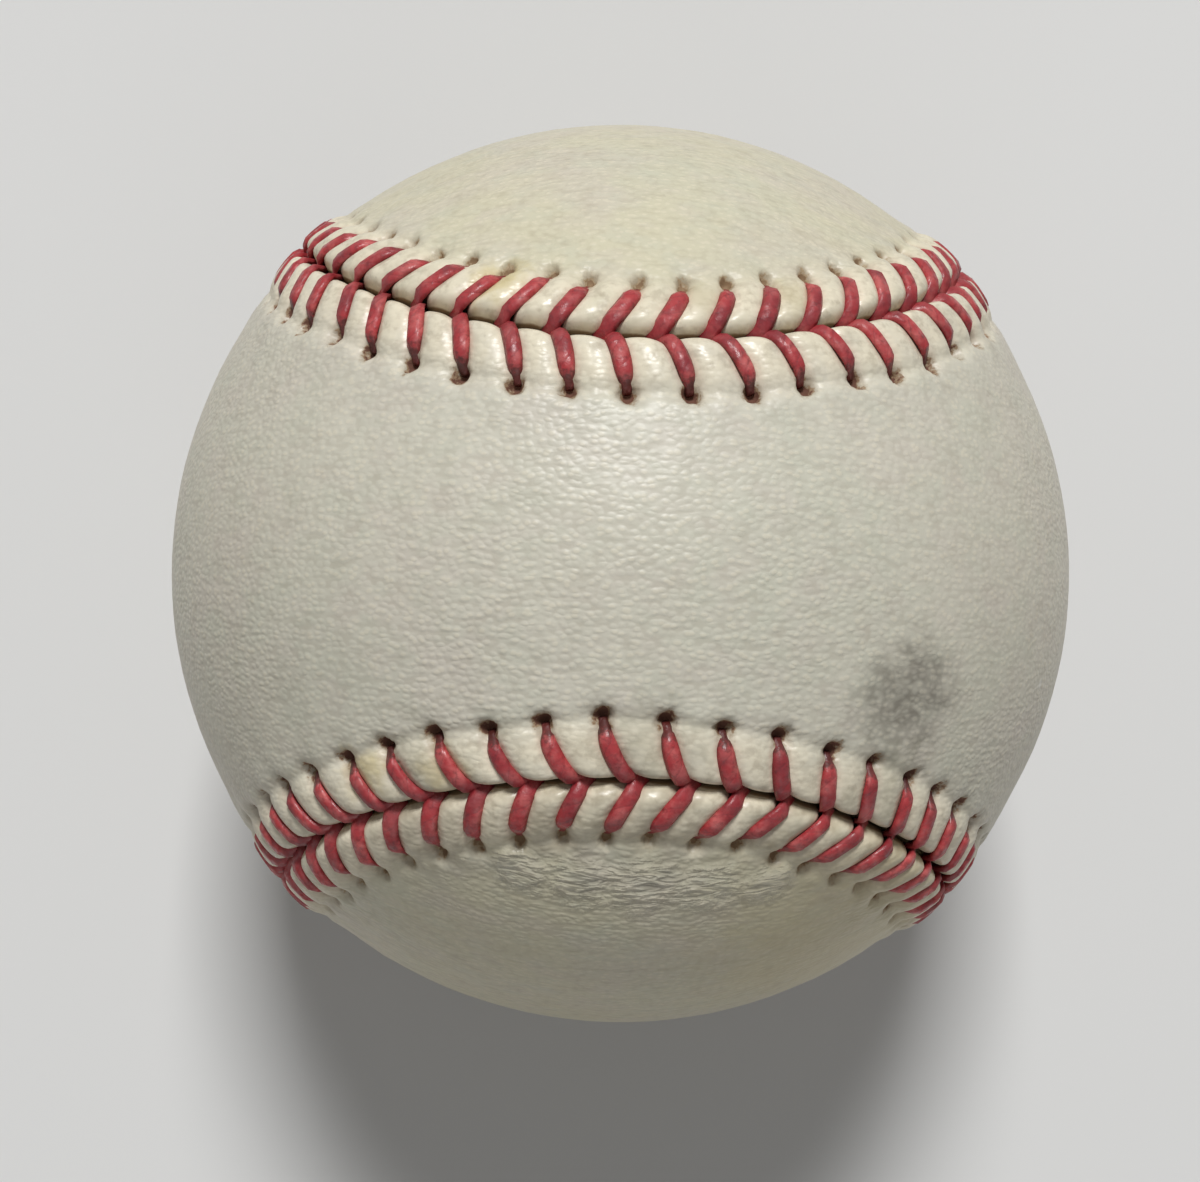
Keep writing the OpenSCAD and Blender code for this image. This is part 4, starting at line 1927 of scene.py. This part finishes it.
@dataclass(frozen=True)
class Studio:
    """A pale floor under the ball, soft lamps and an even sky."""

    floor_size: float = 8000.0
    floor_colour: Colour = (0.80, 0.80, 0.79)
    floor_cloud: Colour = (0.7, 0.7, 0.69)
    floor_clouds: Ramp = Ramp(0.3, 0.7, 0.0, 0.12)
    floor_noise: Noise = Noise(9.0)
    floor_roughness: float = 0.9
    floor_bounce: Colour = (0.36, 0.31, 0.235)
    key_direction: Direction = (-0.01, 0.63, 0.77)
    key_size: float = 1000.0
    key_power: float = 130.0
    fill_direction: Direction = (0.1, -0.8, 0.6)
    fill_size: float = 2400.0
    fill_power: float = 12.0
    lamp_distance: float = 4000.0
    sky_strength: float = 0.155
    sky_colour: tuple[float, float, float, float] = (1.0, 1.0, 1.0, 1.0)
    backdrop_strength: float = 0.82

    def lamp(self, name: str, direction: Direction, power: float, size: float) -> None:
        """Adds a square lamp that faces the ball.

        Args:
            name: Name of the lamp.
            direction: Where it stands, from the ball.
            power: Power in watts.
            size: Side of the square in millimetres.
        """
        data = bpy.data.lights.new(name, "AREA")
        data.energy = power
        data.size = size * MM
        lamp = bpy.data.objects.new(name, data)
        away = Vector(direction).normalized()
        lamp.location = away * self.lamp_distance * MM
        lamp.rotation_euler = away.to_track_quat("Z", "Y").to_euler()
        bpy.context.scene.collection.objects.link(lamp)

    def seen(self, nodes: Nodes) -> Socket:
        """Marks the rays that show the background, seen plainly, in a gloss or through glass.

        Args:
            nodes: Builder of the material's or the sky's node tree.

        Returns:
            1 for such a ray and 0 for one that lights the ball.
        """
        rays = nodes.add("ShaderNodeLightPath").outputs
        bounced = nodes.math("ADD", rays["Is Glossy Ray"], rays["Is Transmission Ray"])
        return nodes.math("ADD", rays["Is Camera Ray"], bounced, clamp=True)

    def build(self, floor_height: float) -> None:
        """Makes the floor, the lamps and the sky.

        Args:
            floor_height: Height of the floor in metres.
        """
        bm = bmesh.new()
        size = self.floor_size / 2.0 * MM
        bmesh.ops.create_grid(bm, x_segments=4, y_segments=4, size=size)
        bmesh.ops.translate(bm, verts=bm.verts, vec=(0.0, 0.0, floor_height))
        material = bpy.data.materials.new("pale_floor")
        material.use_nodes = True
        nodes = Nodes(material.node_tree)
        shader = material.node_tree.nodes["Principled BSDF"]
        cloudy = nodes.ramp(nodes.noise(nodes.place(), self.floor_noise), self.floor_clouds)
        shade = nodes.mix(cloudy, self.floor_colour, self.floor_cloud)
        shown = nodes.mix(self.seen(nodes), self.floor_bounce, shade)
        material.node_tree.links.new(shown, shader.inputs["Base Color"])
        shader.inputs["Roughness"].default_value = self.floor_roughness
        finish_mesh("pale_floor", bm, material)
        self.lamp("key_lamp", self.key_direction, self.key_power, self.key_size)
        self.lamp("fill_lamp", self.fill_direction, self.fill_power, self.fill_size)
        world = bpy.data.worlds.new("even_sky")
        bpy.context.scene.world = world
        world.use_nodes = True
        sky = Nodes(world.node_tree)
        more = self.backdrop_strength - self.sky_strength
        strength = sky.math("MULTIPLY_ADD", self.seen(sky), more, self.sky_strength)
        background = world.node_tree.nodes["Background"]
        background.inputs["Color"].default_value = self.sky_colour
        world.node_tree.links.new(strength, background.inputs["Strength"])
        bpy.context.scene.view_settings.view_transform = "Standard"


BLACK_RUBBER = SolidFinish(
    name="black_rubber_top",
    base=(0.012, 0.012, 0.013),
    cloud=(0.022, 0.021, 0.02),
    roughness=0.55,
    grain=1800.0,
    depth=0.08,
)
RED_RUBBER = SolidFinish(
    name="red_rubber_left",
    base=(0.24, 0.022, 0.018),
    cloud=(0.17, 0.018, 0.015),
    roughness=0.52,
    grain=1500.0,
    depth=0.08,
)
GASKET_RUBBER = replace(
    RED_RUBBER,
    name="gasket_rubber",
    base=(0.23, 0.02, 0.016),
    roughness=0.5,
    depth=0.06,
)
RUBBER_CEMENT = SolidFinish(
    name="rubber_cement",
    base=(0.46, 0.38, 0.21),
    cloud=(0.38, 0.29, 0.14),
    roughness=0.45,
    grain=600.0,
    depth=0.12,
)
PRESSED_CORK = SolidFinish(
    name="pressed_cork",
    base=(0.42, 0.24, 0.11),
    cloud=(0.50, 0.31, 0.16),
    roughness=0.8,
    grain=900.0,
    depth=0.15,
    granular=True,
)
CAD_FINISHES = {
    "black_rubber_shell_top": BLACK_RUBBER,
    "black_rubber_shell_bottom": replace(BLACK_RUBBER, name="black_rubber_bottom"),
    "red_rubber_gasket": GASKET_RUBBER,
    "red_rubber_half_left": RED_RUBBER,
    "red_rubber_half_right": replace(RED_RUBBER, name="red_rubber_right"),
    "cement_film": RUBBER_CEMENT,
}

SMUDGE = (0.135, 0.12, 0.095)
# Soil and painted shade along the lower seam, on either panel.
LOWER_WAIST_SOIL_AND_SHADE = (0.31, 0.30, 0.215)
LOWER_LOBE_SOIL_AND_SHADE = (0.30, 0.25, 0.165)
# Colour of the painted shade and soil in the wrinkles of the creased patches.
CREASE_SHADE_AND_SOIL = (0.20, 0.17, 0.12)
WAIST_STAINS = (
    Stain((0.527, -0.248, 0.813), 5.1, SMUDGE, 0.78, 0.3, on_ridges=True),
    # Soil and painted shade along the lower seam.
    Stain((-0.38, -0.41, 0.83), 4.2, LOWER_WAIST_SOIL_AND_SHADE, 0.4, 0.6, on_ridges=True),
    Stain((0.03, -0.36, 0.93), 4.4, LOWER_WAIST_SOIL_AND_SHADE, 0.42, 0.6, on_ridges=True),
    Stain((0.49, -0.42, 0.77), 4.4, LOWER_WAIST_SOIL_AND_SHADE, 0.42, 0.6, on_ridges=True),
    Stain((0.03, -0.36, 0.93), 0.4, (0.06, 0.055, 0.05), 0.75, 0.9),
    Stain((0.50, -0.43, 0.75), 0.32, (0.05, 0.045, 0.04), 0.75, 0.9),
    Stain((-0.50, -0.42, 0.76), 2.4, (0.58, 0.47, 0.20), 0.55),
    Stain((-0.34, -0.40, 0.85), 2.2, (0.58, 0.47, 0.22), 0.45),
    Stain((0.86, -0.22, 0.46), 0.5, (0.80, 0.78, 0.72), 0.8, 0.8),
)
LOBE_STAINS = (
    # Soil and painted shade along the lower seam.
    Stain((-0.39, -0.51, 0.76), 4.6, LOWER_LOBE_SOIL_AND_SHADE, 0.42, 0.6, on_ridges=True),
    Stain((-0.16, -0.47, 0.87), 4.6, LOWER_LOBE_SOIL_AND_SHADE, 0.5, 0.6, on_ridges=True),
    Stain((0.06, -0.46, 0.89), 4.6, LOWER_LOBE_SOIL_AND_SHADE, 0.5, 0.6, on_ridges=True),
    Stain((0.31, -0.48, 0.82), 4.6, LOWER_LOBE_SOIL_AND_SHADE, 0.5, 0.6, on_ridges=True),
    Stain((0.55, -0.55, 0.63), 4.6, LOWER_LOBE_SOIL_AND_SHADE, 0.42, 0.6, on_ridges=True),
    Stain((-0.27, 0.51, 0.81), 2.6, (0.64, 0.52, 0.20), 0.55),
    Stain((0.11, 0.49, 0.87), 2.0, (0.44, 0.38, 0.20), 0.35),
    Stain((0.28, 0.50, 0.82), 2.2, (0.50, 0.42, 0.20), 0.35),
    Stain((0.48, -0.73, 0.49), 16.0, (0.54, 0.44, 0.20), 0.35, 0.2),
)
LOBE_CREASES = (
    Stain((-0.20, -0.60, 0.78), 2.3, CREASE_SHADE_AND_SOIL, 0.55, 0.35),
    Stain((-0.085, -0.615, 0.785), 2.7, CREASE_SHADE_AND_SOIL, 0.6, 0.35),
    Stain((0.04, -0.62, 0.78), 3.0, CREASE_SHADE_AND_SOIL, 0.6, 0.35),
    Stain((0.165, -0.625, 0.765), 2.7, CREASE_SHADE_AND_SOIL, 0.6, 0.35),
    Stain((0.28, -0.615, 0.74), 2.2, CREASE_SHADE_AND_SOIL, 0.5, 0.35),
)
HIDES = {
    Side.A: LeatherFinish("white_hide_a", base=(0.67, 0.645, 0.54), stains=WAIST_STAINS),
    Side.B: LeatherFinish(
        "white_hide_b",
        base=(0.68, 0.643, 0.475),
        turn=(math.pi, 0.0, math.pi / 2.0),
        crosswise=1.0,
        stains=LOBE_STAINS,
        creased=LOBE_CREASES,
        # Painted shade inside the needle holes, paler on this panel.
        hole=(0.28, 0.185, 0.105),
        torn=(0.47, 0.37, 0.24),
        hole_share=0.85,
    ),
}
THREADS = {
    # soiled sets how strongly the hole end is darkened: painted shade and soil.
    Side.A: ThreadFinish("red_waxed_thread_a", end_shade_and_soil=0.8),
    Side.B: ThreadFinish("red_waxed_thread_b", end_shade_and_soil=0.3),
}
GREY_WOOL = YarnFinish("grey_wool_yarn", base=(0.115, 0.125, 0.14), fleck=(0.24, 0.25, 0.26))
GREY_FOUR_PLY = YarnFinish("grey_four_ply", base=(0.10, 0.11, 0.125), fleck=(0.22, 0.23, 0.24))
WHITE_WOOL = YarnFinish("white_wool_yarn", base=(0.60, 0.57, 0.48), fleck=(0.68, 0.66, 0.60))
COTTON = YarnFinish("cotton_yarn", base=(0.68, 0.66, 0.58), fleck=(0.74, 0.73, 0.68))
LAYERS = {
    "grey_wool_inner": Winding(
        inner=16.8, outer=30.45, half_width=1.5, turns=200, relief=0.6, seed=21, ply=Ply.FOUR_PLY
    ),
    "white_wool": Winding(
        inner=30.55, outer=31.3, half_width=1.4, turns=210, relief=0.45, seed=22, ply=Ply.THREE_PLY
    ),
    "grey_wool_outer": Winding(
        inner=31.4, outer=34.7, half_width=1.4, turns=210, relief=0.5, seed=23, ply=Ply.THREE_PLY
    ),
    "cotton_finish": Winding(
        inner=34.8, outer=35.3, half_width=1.15, turns=300, relief=0.22, seed=24, ply=Ply.THREE_PLY
    ),
}
YARNS = {
    "grey_wool_inner": (GREY_FOUR_PLY, "grey_wool"),
    "white_wool": (WHITE_WOOL, "white_wool"),
    "grey_wool_outer": (GREY_WOOL, "grey_wool"),
    "cotton_finish": (COTTON, "cotton"),
}
CORK = CorkCore(radius=10.3)


def main() -> None:
    """Builds the camera, the studio and every piece of the ball in order."""
    logging.basicConfig(level=logging.INFO, format="%(message)s")
    low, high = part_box("cover_panel_a")
    radius = round((high[0] - low[0]) / 2.0 / MM, 1)
    seam, leather_shape, thread_shape = Seam(radius), LeatherShape(), ThreadShape()
    PhotoCamera().build(radius)
    Studio().build(CAD_BOUNDS[0].z)
    effects = Effects(
        soft_spot_group(), unrolled_group(), ripple_group(), mottle_group(), twist_group()
    )
    for side, hide in HIDES.items():
        letter = side.name.lower()
        leather = hide.build(seam, leather_shape, effects)
        thread = THREADS[side].build(effects)
        panel = CoverPanel(seam, side, leather_shape, thread_shape)
        piece = panel.build(f"leather_panel_{letter}", leather)
        seat_piece(piece, f"cover_panel_{letter}")
        arms = Stitching(seam, side, thread_shape, leather_shape)
        piece = arms.build(f"thread_arms_{letter}", thread)
        seat_piece(piece, f"stitching_panel_{letter}")
    for layer, winding in LAYERS.items():
        finish, slot = YARNS[layer]
        piece = winding.build(f"{layer}_yarn", finish.build(effects))
        seat_piece(piece, f"{layer}_winding")
    piece = CORK.build("cork_granules", PRESSED_CORK.build(effects))
    seat_piece(piece, "cork_core")
    for node, finish in CAD_FINISHES.items():
        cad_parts[node].data.materials[0] = finish.build(effects)
        LOG.info("%s: finish %s", node, finish.name)


if __name__ == "__main__":
    main()
